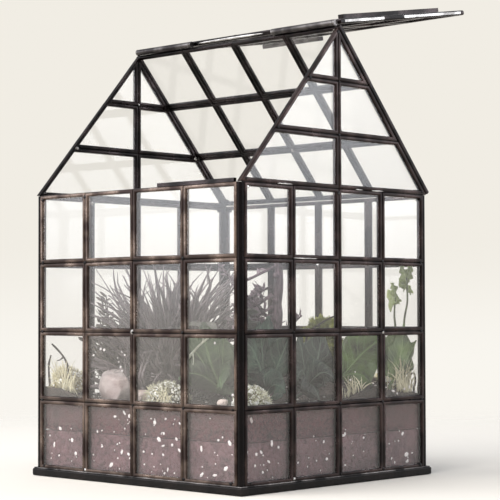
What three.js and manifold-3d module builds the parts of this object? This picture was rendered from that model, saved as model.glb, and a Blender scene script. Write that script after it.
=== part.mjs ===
// A small house-shaped glass terrarium: walls, gables and roof of square panes edged with metal
// came, a hinged front slope that stands open past the ridge, and a planted bed inside.
//
// Millimetres. X runs along the ridge, Y from the front wall to the back wall, Z up. The origin is
// the middle of the tray's underside, on the surface that the house stands on.

import * as THREE from 'three';
import { mergeVertices } from 'three/addons/utils/BufferGeometryUtils.js';
import Module from 'manifold-3d';

const wasm = await Module();
wasm.setup();

// ---------------------------------------------------------------- driving dimensions

// House
const HOUSE_WIDTH = 200; // along the ridge
const HOUSE_DEPTH = 190.3; // front wall to back wall
const WALL_HEIGHT = 191.5;
const ROOF_RISE = 107.8; // eaves to gable tip
const WALL_COLUMNS = 4;
const WALL_ROWS = 4;
const ROOF_COLUMNS = 4;
const ROOF_ROWS = 3;
const GABLE_ROWS = 3;

// Came and glass, measured through the thickness of a panel
const PANEL_DEPTH = 3.6;
const CAME_FACE = 2.8; // width of the metal round each pane
const FLANGE = 0.8; // one face of the came
const WEB = 0.9; // metal that joins the two faces round a panel's edge
const GAP = 0.3; // clearance between pieces that touch

// Tray
const TRAY_HEIGHT = 5;
const TRAY_OVERHANG = 1.5; // beyond the walls
const TRAY_WALL = 2.1;
const TRAY_FLOOR = 1.2;
const TRAY_ROLL = 0.8; // rolled edge

// Lid and hinge
const LID_LENGTH = 140; // down the slope
const LID_OPEN_ANGLE = 9.5; // degrees above level, behind the ridge
const SLOPE_LIFT = 0.4; // a slope above the gable rakes
const STOP_EASE = 2.7; // degrees, half of what the lid keeps clear of its stop
const HINGE_TUBE_RADIUS = 2.2;
const HINGE_BORE_RADIUS = 1.3;
const HINGE_WIRE_RADIUS = 0.95;
const HINGE_INNER_END = 39.7; // from the middle of the ridge
const HINGE_OUTER_END = 97.5;
const HINGE_EAR = 1.6; // thickness of the wire's two ears
const HINGE_LEAF = 2.4; // width of the web from the tube to the panel

// Trim strips
const EAVE_STRIP = { from: 24, to: 94, width: 2.5, height: 2.5 };
const LID_TAB = { from: -96, to: -36, start: 134, width: 5.5, height: 3.2 };
const SIDE_STRIP = { from: 91, to: 95.8, start: 8, end: 115, height: 2.8 };

// Bed
const DRAINAGE_TOP = 32;
const SOIL_LEVEL = 54;
const SOIL_SQUARES_X = 14;
const SOIL_SQUARES_Y = 12;
const ROOT_DEPTH = 8;
const BLADE = 0.8; // thickness of leaves
const LEAF_SIDE = 91; // where the right-hand tuft stops, short of the leaf against the glass

// ---------------------------------------------------------------- derived sizes

const HALF_WIDTH = HOUSE_WIDTH / 2;
const HALF_DEPTH = HOUSE_DEPTH / 2;
const EAVES = TRAY_HEIGHT + WALL_HEIGHT;
const RIDGE = EAVES + ROOF_RISE;
const INNER_X = HALF_WIDTH - PANEL_DEPTH - GAP;
const INNER_Y = HALF_DEPTH - PANEL_DEPTH - GAP;
const SLOPE_LENGTH = Math.hypot(HALF_DEPTH, ROOF_RISE);
const ROOF_ANGLE = Math.atan2(ROOF_RISE, HALF_DEPTH);
const radians = THREE.MathUtils.degToRad;

// The hinge axis stands over the ridge, at the height where the open lid's top edge meets the fixed
// slope's top edge with the lid at its open angle.
const STOP_HALF_ANGLE = (radians(LID_OPEN_ANGLE) + ROOF_ANGLE) / 2 - radians(STOP_EASE);
const HINGE_RISE = (SLOPE_LIFT + PANEL_DEPTH)
  / (Math.cos(ROOF_ANGLE) + Math.tan(STOP_HALF_ANGLE) * Math.sin(ROOF_ANGLE));
const HINGE_TO_PANEL = HINGE_RISE * Math.sin(ROOF_ANGLE);
const LID_SWING = Math.PI + ROOF_ANGLE - radians(LID_OPEN_ANGLE);

// ---------------------------------------------------------------- materials

function material(color, roughness, metalness = 0, opacity = 1) {
  return new THREE.MeshStandardMaterial({
    color, roughness, metalness, opacity, transparent: opacity < 1, side: THREE.DoubleSide,
  });
}

const came = material(0x3a2f30, 0.4, 0.8);
const solder = material(0x2a2526, 0.3, 0.9);
const brightMetal = material(0x8d898a, 0.35, 0.9);
const trayMetal = material(0x1c191a, 0.45, 0.8);
const glass = material(0xf4f6f2, 0.05, 0, 0.35);
const grit = material(0x8a7b7c, 0.95);
const earth = material(0x4e4040, 0.95);
const paleStone = material(0xd8c8c0, 0.8);
const rock = material(0xc9b4ae, 0.8);
const oliveMoss = material(0x9a9455, 0.95);
const paleMoss = material(0xb9b98c, 0.95);
const greenMoss = material(0x7d8f47, 0.95);
const bark = material(0x6b5b5c, 0.9);
const twigBark = material(0x3b3332, 0.9);
const paleBark = material(0xc3c7b4, 0.85);
const darkBlade = material(0x4f5450, 0.6);
const fernGreen = material(0x6a6e5c, 0.7);
const broadGreen = material(0x4f7a4c, 0.5);
const blueGreen = material(0x4b6b5c, 0.5);
const seedlingGreen = material(0x8da05f, 0.6);

// ---------------------------------------------------------------- solids

function solid(geometry) {
  const bare = geometry.clone();
  bare.deleteAttribute('normal');
  bare.deleteAttribute('uv');
  const merged = mergeVertices(bare, 1e-4);
  return new wasm.Manifold(new wasm.Mesh({
    numProp: 3,
    vertProperties: new Float32Array(merged.attributes.position.array),
    triVerts: new Uint32Array(merged.index.array),
  }));
}

function surface(shape) {
  const mesh = shape.getMesh();
  const geometry = new THREE.BufferGeometry();
  geometry.setAttribute('position', new THREE.BufferAttribute(mesh.vertProperties, 3));
  geometry.setIndex(new THREE.BufferAttribute(mesh.triVerts, 1));
  geometry.computeVertexNormals();
  return geometry;
}

function block(low, high) {
  const size = high.map((value, i) => value - low[i]);
  const middle = high.map((value, i) => (value + low[i]) / 2);
  return solid(new THREE.BoxGeometry(...size).translate(...middle));
}

// The main body of a shape, without the loose scraps that a cut can leave and with any hollow that
// its pieces close between them filled.
function mainBody(shape) {
  return shape.decompose().reduce((kept, body) => (body.volume() > kept.volume() ? body : kept));
}

function plate(points, from, to) {
  const outline = new THREE.Shape(points);
  const geometry = new THREE.ExtrudeGeometry(outline, { depth: to - from, bevelEnabled: false });
  return solid(geometry.translate(0, 0, from));
}

// Seeded draws, so that the bed is the same every time.
function seeded(seed) {
  let state = seed;
  return (low, high) => {
    state = (state * 1664525 + 1013904223) % 4294967296;
    return low + (high - low) * (state / 4294967296);
  };
}

const house = new THREE.Group();

function add(parent, name, shape, finish) {
  const geometry = shape.isBufferGeometry ? shape : surface(shape);
  const mesh = new THREE.Mesh(geometry, finish);
  mesh.name = name;
  parent.add(mesh);
  return mesh;
}

// Stands a mesh that was drawn flat, with its sheet along `across` and `along` and its outer face
// towards `out`.
function stand(mesh, across, along, out, origin) {
  const turn = new THREE.Matrix4().makeBasis(across, along, out).setPosition(origin);
  mesh.applyMatrix4(turn);
}

const vector = (x, y, z) => new THREE.Vector3(x, y, z);

// ---------------------------------------------------------------- glazed panels

// A convex outline, counter-clockwise, drawn in by a distance.
function inset(points, distance) {
  return points.map((point, i) => {
    const before = points.at(i - 1);
    const after = points[(i + 1) % points.length];
    const arriving = point.clone().sub(before).normalize();
    const leaving = after.clone().sub(point).normalize();
    const inward = new THREE.Vector2(-arriving.y - leaving.y, arriving.x + leaving.x);
    return point.clone().addScaledVector(inward, distance / (1 + arriving.dot(leaving)));
  });
}

function rectangle(left, right, bottom, top) {
  return [[left, bottom], [right, bottom], [right, top], [left, top]]
    .map((corner) => new THREE.Vector2(...corner));
}

function squarePanes(halfWidth, height, columns, rows) {
  const panes = [];
  const width = (2 * halfWidth) / columns;
  for (let row = 0; row < rows; row++) {
    for (let column = 0; column < columns; column++) {
      const left = column * width - halfWidth;
      const bottom = (row * height) / rows;
      panes.push(rectangle(left, left + width, bottom, bottom + height / rows));
    }
  }
  return panes;
}

function gablePanes() {
  const panes = [];
  const halfAt = (level) => HALF_DEPTH * (1 - level / GABLE_ROWS);
  for (let row = 0; row < GABLE_ROWS; row++) {
    const bottom = (row * ROOF_RISE) / GABLE_ROWS;
    const top = bottom + ROOF_RISE / GABLE_ROWS;
    const right = [[0, bottom], [halfAt(row), bottom], [halfAt(row + 1), top], [0, top]];
    const corners = row === GABLE_ROWS - 1 ? right.slice(0, 3) : right;
    panes.push(corners.map(([x, y]) => new THREE.Vector2(x, y)));
    panes.push(corners.map(([x, y]) => new THREE.Vector2(-x, y)).reverse());
  }
  return panes;
}

// The came is one soldered lattice with the glass held between its two faces.
function cameLattice(outline, panes) {
  let lattice = plate(outline, 0, PANEL_DEPTH)
    .subtract(plate(inset(outline, WEB), FLANGE, PANEL_DEPTH - FLANGE));
  for (const pane of panes) {
    lattice = lattice.subtract(plate(inset(pane, CAME_FACE), -1, PANEL_DEPTH + 1));
  }
  return lattice;
}

function glazing(outline) {
  return plate(inset(outline, WEB + GAP), FLANGE + GAP, PANEL_DEPTH - FLANGE - GAP);
}

function addPanel(parent, name, outline, panes, across, along, out, origin) {
  const lattice = add(parent, `${name}_cames`, cameLattice(outline, panes), came);
  const sheet = add(parent, `${name}_glass`, glazing(outline), glass);
  stand(lattice, across, along, out, origin);
  stand(sheet, across, along, out, origin);
}

// ---------------------------------------------------------------- tray and bottom pane

function addTray() {
  const halfX = HALF_WIDTH + TRAY_OVERHANG - TRAY_ROLL;
  const halfY = HALF_DEPTH + TRAY_OVERHANG - TRAY_ROLL;
  const outline = new THREE.Shape(rectangle(-halfX, halfX, -halfY, halfY));
  const rolled = new THREE.ExtrudeGeometry(outline, {
    depth: TRAY_HEIGHT - 2 * TRAY_ROLL,
    bevelThickness: TRAY_ROLL,
    bevelSize: TRAY_ROLL,
    bevelSegments: 2,
  });
  const innerX = HALF_WIDTH + TRAY_OVERHANG - TRAY_WALL;
  const innerY = HALF_DEPTH + TRAY_OVERHANG - TRAY_WALL;
  const tray = solid(rolled.translate(0, 0, TRAY_ROLL))
    .subtract(block([-innerX, -innerY, TRAY_FLOOR], [innerX, innerY, TRAY_HEIGHT + 1]));
  add(house, 'base_tray', tray, trayMetal);
  const low = [-innerX + GAP, -innerY + GAP, TRAY_FLOOR + GAP];
  add(house, 'floor_pane', block(low, [innerX - GAP, innerY - GAP, TRAY_HEIGHT]), glass);
}

// ---------------------------------------------------------------- walls, gables and fixed slope

const X = vector(1, 0, 0);
const Y = vector(0, 1, 0);
const Z = vector(0, 0, 1);
const MINUS_X = vector(-1, 0, 0);
const MINUS_Y = vector(0, -1, 0);

function addWalls() {
  const halfX = HALF_WIDTH - PANEL_DEPTH - GAP / 2;
  const halfY = HALF_DEPTH - PANEL_DEPTH - GAP / 2;
  const wide = rectangle(-halfX, halfX, 0, WALL_HEIGHT);
  const deep = rectangle(-halfY, halfY, 0, WALL_HEIGHT);
  const widePanes = squarePanes(halfX, WALL_HEIGHT, WALL_COLUMNS, WALL_ROWS);
  const deepPanes = squarePanes(halfY, WALL_HEIGHT, WALL_COLUMNS, WALL_ROWS);
  const front = vector(0, -HALF_DEPTH + PANEL_DEPTH, TRAY_HEIGHT);
  const back = vector(0, HALF_DEPTH - PANEL_DEPTH, TRAY_HEIGHT);
  const left = vector(-HALF_WIDTH + PANEL_DEPTH, 0, TRAY_HEIGHT);
  const right = vector(HALF_WIDTH - PANEL_DEPTH, 0, TRAY_HEIGHT);
  addPanel(house, 'front_wall', wide, widePanes, X, Z, MINUS_Y, front);
  addPanel(house, 'back_wall', wide, widePanes, MINUS_X, Z, Y, back);
  addPanel(house, 'left_wall', deep, deepPanes, MINUS_Y, Z, MINUS_X, left);
  addPanel(house, 'right_wall', deep, deepPanes, Y, Z, X, right);
}

function addGables() {
  const outline = [[-HALF_DEPTH, 0], [HALF_DEPTH, 0], [0, ROOF_RISE]]
    .map(([x, y]) => new THREE.Vector2(x, y));
  const panes = gablePanes();
  const left = vector(-HALF_WIDTH + PANEL_DEPTH, 0, EAVES);
  const right = vector(HALF_WIDTH - PANEL_DEPTH, 0, EAVES);
  addPanel(house, 'left_gable', outline, panes, MINUS_Y, Z, MINUS_X, left);
  addPanel(house, 'right_gable', outline, panes, Y, Z, X, right);
}

function addFixedSlope() {
  const outline = rectangle(-HALF_WIDTH, HALF_WIDTH, 0, SLOPE_LENGTH);
  const panes = squarePanes(HALF_WIDTH, SLOPE_LENGTH, ROOF_COLUMNS, ROOF_ROWS);
  const down = vector(0, Math.cos(ROOF_ANGLE), -Math.sin(ROOF_ANGLE));
  const out = vector(0, Math.sin(ROOF_ANGLE), Math.cos(ROOF_ANGLE));
  const ridge = vector(0, 0, RIDGE).addScaledVector(out, SLOPE_LIFT);
  addPanel(house, 'back_slope', outline, panes, X, down, out, ridge);
}

// A quarter-round bead of solder fills the groove down each corner.
function addCornerBeads() {
  const reach = PANEL_DEPTH - GAP;
  const bead = new THREE.Shape();
  bead.moveTo(GAP, GAP);
  bead.lineTo(reach, GAP);
  bead.quadraticCurveTo(reach, reach, GAP, reach);
  const tall = { depth: WALL_HEIGHT - 2 * GAP, bevelEnabled: false, curveSegments: 4 };
  const geometry = new THREE.ExtrudeGeometry(bead, tall);
  const beadAt = (name, turn, sideX, sideY) => {
    const mesh = add(house, name, geometry, solder);
    mesh.rotation.z = turn;
    mesh.position.set(
      sideX * (HALF_WIDTH - PANEL_DEPTH), sideY * (HALF_DEPTH - PANEL_DEPTH), TRAY_HEIGHT + GAP,
    );
  };
  beadAt('corner_bead_back_right', 0, 1, 1);
  beadAt('corner_bead_back_left', Math.PI / 2, -1, 1);
  beadAt('corner_bead_front_left', Math.PI, -1, -1);
  beadAt('corner_bead_front_right', -Math.PI / 2, 1, -1);
}

function addEaveStrip() {
  const front = -HALF_DEPTH;
  const low = [EAVE_STRIP.from, front, EAVES];
  const high = [EAVE_STRIP.to, front + EAVE_STRIP.width, EAVES + EAVE_STRIP.height];
  add(house, 'eave_strip', block(low, high), came);
}

// ---------------------------------------------------------------- lid and hinges

// The lid is drawn shut, about its hinge axis, and then swung open as one group.
const lid = new THREE.Group();
lid.position.set(0, 0, RIDGE + HINGE_RISE);
lid.rotation.x = -LID_SWING;
house.add(lid);

const LID_DOWN = vector(0, -Math.cos(ROOF_ANGLE), -Math.sin(ROOF_ANGLE));
const LID_OUT = vector(0, -Math.sin(ROOF_ANGLE), Math.cos(ROOF_ANGLE));
const LID_RIDGE = vector(0, 0, -HINGE_RISE).addScaledVector(LID_OUT, SLOPE_LIFT);

function addLid() {
  const outline = rectangle(-HALF_WIDTH, HALF_WIDTH, 0, LID_LENGTH);
  const panes = squarePanes(HALF_WIDTH, LID_LENGTH, ROOF_COLUMNS, ROOF_ROWS);
  addPanel(lid, 'lid', outline, panes, MINUS_X, LID_DOWN, LID_OUT, LID_RIDGE);

  // Across the lid the drawing runs towards -X, so the strips' ends change sign.
  const tabLow = [-LID_TAB.to, LID_TAB.start, PANEL_DEPTH + GAP];
  const tabHigh = [-LID_TAB.from, LID_TAB.start + LID_TAB.width, PANEL_DEPTH + GAP + LID_TAB.height];
  const tab = add(lid, 'lid_finger_tab', block(tabLow, tabHigh), brightMetal);
  stand(tab, MINUS_X, LID_DOWN, LID_OUT, LID_RIDGE);

  const stripLow = [-SIDE_STRIP.to, SIDE_STRIP.start, -GAP - SIDE_STRIP.height];
  const stripHigh = [-SIDE_STRIP.from, SIDE_STRIP.end, -GAP];
  const strip = add(lid, 'lid_side_strip', block(stripLow, stripHigh), came);
  stand(strip, MINUS_X, LID_DOWN, LID_OUT, LID_RIDGE);
}

// A round section with a web that reaches, less the clearance, to the panel it is soldered to.
function hingeSection(radius) {
  const half = HINGE_LEAF / 2;
  const start = Math.asin(half / radius);
  const section = new THREE.Shape();
  section.moveTo(HINGE_TO_PANEL - GAP, half);
  section.absarc(0, 0, radius, start, 2 * Math.PI - start, false);
  section.lineTo(HINGE_TO_PANEL - GAP, -half);
  section.closePath();
  return section;
}

function extrudeAlongX(section, from, to) {
  const options = { depth: to - from, bevelEnabled: false, curveSegments: 10 };
  return new THREE.ExtrudeGeometry(section, options)
    .translate(0, 0, from)
    .applyMatrix4(new THREE.Matrix4().makeBasis(Y, Z, X));
}

function addHinge(side, sign) {
  const tubeSection = hingeSection(HINGE_TUBE_RADIUS);
  const bore = new THREE.Path();
  bore.absarc(0, 0, HINGE_BORE_RADIUS, 0, 2 * Math.PI, true);
  tubeSection.holes.push(bore);
  const ends = [HINGE_INNER_END, HINGE_OUTER_END].map((end) => end * sign).sort((a, b) => a - b);
  const [near, far] = ends;
  const tube = extrudeAlongX(tubeSection, near + HINGE_EAR + GAP, far - HINGE_EAR - GAP);
  const tubeMesh = add(lid, `hinge_tube_${side}`, tube, brightMetal);
  tubeMesh.rotation.x = Math.PI + ROOF_ANGLE;

  const wire = new THREE.Shape();
  wire.absarc(0, 0, HINGE_WIRE_RADIUS, 0, 2 * Math.PI, false);
  const ear = hingeSection(HINGE_TUBE_RADIUS);
  const staple = solid(extrudeAlongX(wire, near, far))
    .add(solid(extrudeAlongX(ear, near, near + HINGE_EAR)))
    .add(solid(extrudeAlongX(ear, far - HINGE_EAR, far)));
  const wireMesh = add(house, `hinge_wire_${side}`, staple, brightMetal);
  wireMesh.position.set(0, 0, RIDGE + HINGE_RISE);
  wireMesh.rotation.x = -ROOF_ANGLE;
}

// ---------------------------------------------------------------- shapes for the bed

// Height of the soil: level near the glass, with a hummock behind the middle and a rise in the
// front left corner.
function soilHeight(x, y) {
  const rise = (height, atX, atY, wideX, wideY) => (
    height * Math.exp(-(((x - atX) / wideX) ** 2) - ((y - atY) / wideY) ** 2)
  );
  return SOIL_LEVEL + rise(30, 30, 50, 55, 40) + rise(9, -95, -90, 30, 30)
    + 1.5 * Math.sin(x / 9) * Math.cos(y / 11);
}

// A tapered round stem along a smooth curve.
function stem(points, thick, thin, sides = 5, steps = 8) {
  const curve = new THREE.CatmullRomCurve3(points.map((point) => vector(...point)));
  const frames = curve.computeFrenetFrames(steps);
  const geometry = new THREE.CylinderGeometry(1, 1, 1, sides, steps);
  const position = geometry.attributes.position;
  for (let i = 0; i < position.count; i++) {
    const t = position.getY(i) + 0.5;
    const step = Math.round(t * steps);
    const radius = THREE.MathUtils.lerp(thick, thin, t);
    const point = curve.getPointAt(t)
      .addScaledVector(frames.normals[step], position.getX(i) * radius)
      .addScaledVector(frames.binormals[step], -position.getZ(i) * radius);
    position.setXYZ(i, point.x, point.y, point.z);
  }
  return solid(geometry);
}

// A thin closed blade from a flat sheet that has been bent: both faces are split alike.
function thicken(sheet, across, along, thickness) {
  sheet.computeVertexNormals();
  const { position, normal } = sheet.attributes;
  const count = position.count;
  const vertices = [];
  for (const face of [thickness / 2, -thickness / 2]) {
    for (let i = 0; i < count; i++) {
      vertices.push(position.getX(i) + normal.getX(i) * face);
      vertices.push(position.getY(i) + normal.getY(i) * face);
      vertices.push(position.getZ(i) + normal.getZ(i) * face);
    }
  }
  const index = [];
  const flat = sheet.index.array;
  for (let k = 0; k < flat.length; k += 3) {
    const [a, b, c] = [flat[k], flat[k + 1], flat[k + 2]];
    index.push(a, b, c, a + count, c + count, b + count);
  }
  const at = (column, row) => column + row * (across + 1);
  const rim = [];
  for (let i = 0; i < across; i++) rim.push(at(i, along));
  for (let i = along; i > 0; i--) rim.push(at(across, i));
  for (let i = across; i > 0; i--) rim.push(at(i, 0));
  for (let i = 0; i < along; i++) rim.push(at(0, i));
  rim.forEach((here, i) => {
    const next = rim[(i + 1) % rim.length];
    index.push(next, here, here + count, next, here + count, next + count);
  });
  const blade = new THREE.BufferGeometry();
  blade.setAttribute('position', new THREE.Float32BufferAttribute(vertices, 3));
  blade.setIndex(index);
  return solid(blade);
}

// A leaf blade along an arched midrib. `facing` is the way its upper face looks.
function leafBlade(leaf) {
  const {
    base, middle, tip, width, facing, shape = 0.6, waves = 0, waveDepth = 0, fold = 0.12,
    across = 2, along = 8, thickness = BLADE,
  } = leaf;
  const midrib = new THREE.QuadraticBezierCurve3(vector(...base), vector(...middle), vector(...tip));
  const upper = vector(...facing).normalize();
  const sheet = new THREE.PlaneGeometry(2, 1, across, along);
  const position = sheet.attributes.position;
  for (let i = 0; i < position.count; i++) {
    const u = position.getX(i);
    const t = position.getY(i) + 0.5;
    const tangent = midrib.getTangent(t);
    const side = tangent.clone().cross(upper).normalize();
    const out = side.clone().cross(tangent);
    const swell = Math.max(Math.sin(Math.PI * t ** shape), 0.1);
    const wave = Math.sin(2 * Math.PI * waves * t + u);
    const half = (width / 2) * swell * (1 + waveDepth * wave);
    const point = midrib.getPoint(t)
      .addScaledVector(side, u * half)
      .addScaledVector(out, -fold * Math.abs(u) * half + waveDepth * 4 * u * wave);
    position.setXYZ(i, point.x, point.y, point.z);
  }
  return thicken(sheet, across, along, thickness);
}

function pebbleShape(centre, size, seed, grow = 0, detail = 1) {
  const geometry = new THREE.IcosahedronGeometry(1, detail);
  const position = geometry.attributes.position;
  for (let i = 0; i < position.count; i++) {
    const [x, y, z] = [position.getX(i), position.getY(i), position.getZ(i)];
    const bump = 1 + 0.09 * Math.sin(3 * x + seed) + 0.07 * Math.sin(4 * y + 2 * seed)
      + 0.05 * Math.sin(5 * z - seed);
    position.setXYZ(
      i,
      centre[0] + x * (size[0] * bump + grow),
      centre[1] + y * (size[1] * bump + grow),
      centre[2] + z * (size[2] * bump + grow),
    );
  }
  return solid(geometry);
}

// A cushion of moss: a low dome whose surface is raised in small heads.
function mossShape(centre, size, seed) {
  const geometry = new THREE.IcosahedronGeometry(1, 4);
  const position = geometry.attributes.position;
  for (let i = 0; i < position.count; i++) {
    const [x, y, z] = [position.getX(i), position.getY(i), position.getZ(i)];
    const heads = Math.sin(9 * x + seed) * Math.sin(9 * y - seed) * Math.sin(8 * z + 2 * seed);
    const bump = 1 + 0.09 * heads;
    position.setXYZ(
      i, centre[0] + x * size[0] * bump, centre[1] + y * size[1] * bump,
      centre[2] + z * size[2] * bump,
    );
  }
  return solid(geometry);
}

// A tuft: a small dome with thin three-sided shoots standing out of it.
function tuftShape(centre, size, seed, shoots) {
  const draw = seeded(seed);
  let tuft = pebbleShape(centre, size, seed);
  for (let i = 0; i < shoots; i++) {
    const turn = i * 2.4;
    const lean = 1.15 * Math.sqrt((i + 0.5) / shoots);
    const length = draw(6, 10);
    const way = vector(
      Math.sin(lean) * Math.cos(turn), Math.sin(lean) * Math.sin(turn), Math.cos(lean),
    );
    const shoot = new THREE.ConeGeometry(draw(0.9, 1.3), length, 3);
    shoot.translate(0, length / 2, 0);
    shoot.applyQuaternion(new THREE.Quaternion().setFromUnitVectors(Y, way));
    const root = way.clone().multiply(vector(...size)).multiplyScalar(0.8);
    shoot.translate(centre[0] + root.x, centre[1] + root.y, centre[2] + root.z);
    tuft = tuft.add(solid(shoot));
  }
  return tuft;
}

// ---------------------------------------------------------------- bed

// Every plant stands in a plain hole of its own in the soil.
const roots = {
  grass: { at: [-20, -40], radius: 8 },
  fern: { at: [-70, -50], radius: 3.5 },
  driftwood: { at: [52, -14], radius: 3.6 },
  twigLeft: { at: [-72, -86], radius: 0.9 },
  twigCorner: { at: [-93.5, -88], radius: 0.8 },
  twigRight: { at: [64, 2], radius: 0.8 },
  paleStem: { at: [36, -83], radius: 0.9 },
  leafFront: { at: [52, -56], radius: 1.2 },
  leafCorner: { at: [70, -44], radius: 1.2 },
  leafDark: { at: [76, -18], radius: 1.2 },
  leafBright: { at: [78, 22], radius: 1.2 },
  leafWavy: { at: [92.5, 62], radius: 1.2 },
  leafArchLeft: { at: [40, -40], radius: 1.2 },
  leafArchRight: { at: [62, -34], radius: 1.2 },
  seedlingTall: { at: [90, 80], radius: 1 },
  seedlingShort: { at: [88, 75], radius: 0.8 },
  runner: { at: [93, 88], radius: 0.7 },
};

function groundAt(root) {
  return soilHeight(...root.at);
}

function rootHole(root) {
  const depth = ROOT_DEPTH + GAP;
  const height = depth + 45;
  const hole = new THREE.CylinderGeometry(root.radius + GAP, root.radius + GAP, height, 8);
  hole.rotateX(Math.PI / 2);
  return solid(hole.translate(...root.at, groundAt(root) - depth + height / 2));
}

// The first points of a stem: up out of its hole.
function rootPoints(root, above = 2) {
  return [[...root.at, groundAt(root) - ROOT_DEPTH], [...root.at, groundAt(root) + above]];
}

function soilBlock(lift = 0) {
  const geometry = new THREE.BoxGeometry(
    2 * INNER_X, 2 * INNER_Y, 1, SOIL_SQUARES_X, SOIL_SQUARES_Y, 1,
  );
  const position = geometry.attributes.position;
  for (let i = 0; i < position.count; i++) {
    const top = soilHeight(position.getX(i), position.getY(i));
    position.setZ(i, position.getZ(i) > 0 ? top + lift : DRAINAGE_TOP - 1);
  }
  const below = block([-HALF_WIDTH, -HALF_DEPTH, 0], [HALF_WIDTH, HALF_DEPTH, DRAINAGE_TOP]);
  return solid(geometry).subtract(below);
}

const stones = {
  rock_large: { centre: [-36, -75, 62], size: [15, 11, 12], seed: 1, finish: rock, detail: 2 },
  pebble_front: { centre: [-5, -82, 57], size: [7, 5, 5], seed: 2, finish: paleStone },
  pebble_corner: { centre: [76, -87, 56], size: [3.6, 2.8, 3], seed: 3, finish: paleStone },
  pebble_bed: { centre: [93.5, -82, 46], size: [3.8, 5, 6], seed: 4, finish: rock },
  pebble_right: { centre: [92, 52, 60], size: [2.8, 3.6, 3], seed: 5, finish: paleStone },
};

// The space between the walls, above the lower layer, as far right as `side`.
function room(side = INNER_X) {
  return block([-INNER_X, -INNER_Y, DRAINAGE_TOP], [side, INNER_Y, EAVES]);
}

function addBed() {
  const low = [-INNER_X, -INNER_Y, TRAY_HEIGHT];
  add(house, 'drainage_layer', block(low, [INNER_X, INNER_Y, DRAINAGE_TOP]), grit);
  let soil = soilBlock();
  for (const root of Object.values(roots)) soil = soil.subtract(rootHole(root));
  for (const [name, stone] of Object.entries(stones)) {
    const { centre, size, seed, finish, detail = 1 } = stone;
    // A stone that lies against the glass is as flat there as the bed is.
    add(house, name, pebbleShape(centre, size, seed, 0, detail).intersect(room()), finish);
    soil = soil.subtract(pebbleShape(centre, size, seed, GAP, detail));
  }
  add(house, 'soil_layer', soil, earth);
}

function addMoss() {
  const seat = soilBlock(GAP);
  const onSoil = (shape, side) => mainBody(shape.subtract(seat).intersect(room(side)));
  const ground = (x, y) => [x, y, soilHeight(x, y)];
  add(house, 'moss_left', onSoil(tuftShape(ground(-83, -80), [10, 8, 11], 11, 30)), oliveMoss);
  add(house, 'moss_front', onSoil(mossShape(ground(18, -80), [13, 9, 15], 12)), paleMoss);
  add(house, 'moss_corner', onSoil(mossShape(ground(87, -72), [7.5, 11, 17], 13)), paleMoss);
  add(house, 'moss_mound', onSoil(mossShape(ground(34, 56), [20, 17, 30], 14)), greenMoss);
  const right = tuftShape(ground(83, 77), [6, 8, 15], 15, 24)
    .subtract(rootHole(roots.seedlingTall)).subtract(rootHole(roots.seedlingShort));
  add(house, 'moss_right', onSoil(right, LEAF_SIDE), oliveMoss);
}

// ---------------------------------------------------------------- plants and wood

function addGrassClump() {
  const draw = seeded(21);
  const root = roots.grass;
  const [x, y] = root.at;
  const ground = groundAt(root);
  const crown = new THREE.CylinderGeometry(5, root.radius, ROOT_DEPTH + 6, 8).rotateX(Math.PI / 2);
  let clump = solid(crown.translate(x, y, ground - ROOT_DEPTH + (ROOT_DEPTH + 6) / 2));
  const blades = 44;
  for (let i = 0; i < blades; i++) {
    const turn = i * 2.4 + draw(-0.2, 0.2);
    const lean = 0.47 * Math.sqrt((i + 0.5) / blades);
    const length = draw(72, 96);
    const outward = vector(1.15 * Math.cos(turn), 0.95 * Math.sin(turn), 0);
    const start = vector(x, y, ground + 2).addScaledVector(outward, draw(1, 4));
    const middle = start.clone()
      .addScaledVector(outward, length * 0.5 * Math.sin(lean) * 0.7)
      .addScaledVector(Z, length * 0.55);
    const tip = start.clone()
      .addScaledVector(outward, length * Math.sin(lean))
      .addScaledVector(Z, length * Math.cos(lean));
    clump = clump.add(leafBlade({
      base: start.toArray(), middle: middle.toArray(), tip: tip.toArray(),
      width: draw(3.4, 5), facing: outward.clone().addScaledVector(Z, 0.3).toArray(),
      shape: 0.8, fold: 0, across: 1, along: 4,
    }));
  }
  add(house, 'grass_clump', mainBody(clump), darkBlade);
}

function addFernSprig() {
  const draw = seeded(31);
  const root = roots.fern;
  const [x, y] = root.at;
  const ground = groundAt(root);
  let sprig = stem(rootPoints(root, 8), 3.2, 2.4, 6, 2);
  const fronds = 5;
  for (let i = 0; i < fronds; i++) {
    const turn = (i * 2 * Math.PI) / fronds + 0.3;
    const outward = vector(Math.cos(turn), Math.sin(turn), 0);
    const reach = draw(12, 19);
    const height = draw(48, 72);
    const at = (far, up) => [x + outward.x * far, y + outward.y * far, ground + 3 + up];
    const points = [at(0, 0), at(reach * 0.3, height * 0.5), at(reach, height)];
    sprig = sprig.add(stem(points, 0.9, 0.6, 4, 4));
    const curve = new THREE.CatmullRomCurve3(points.map((point) => vector(...point)));
    for (let k = 0; k < 6; k++) {
      const from = curve.getPointAt(0.35 + k * 0.12);
      const spin = turn + (k % 2 ? 1.2 : -1.2);
      const way = vector(Math.cos(spin), Math.sin(spin), 0.9).multiplyScalar(draw(8, 12));
      const end = from.clone().add(way);
      sprig = sprig.add(leafBlade({
        base: from.toArray(), middle: from.clone().lerp(end, 0.5).toArray(), tip: end.toArray(),
        width: 4, facing: [outward.x, outward.y, 1], fold: 0, across: 1, along: 2,
      }));
    }
  }
  add(house, 'fern_sprig', mainBody(sprig), fernGreen);
}

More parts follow.
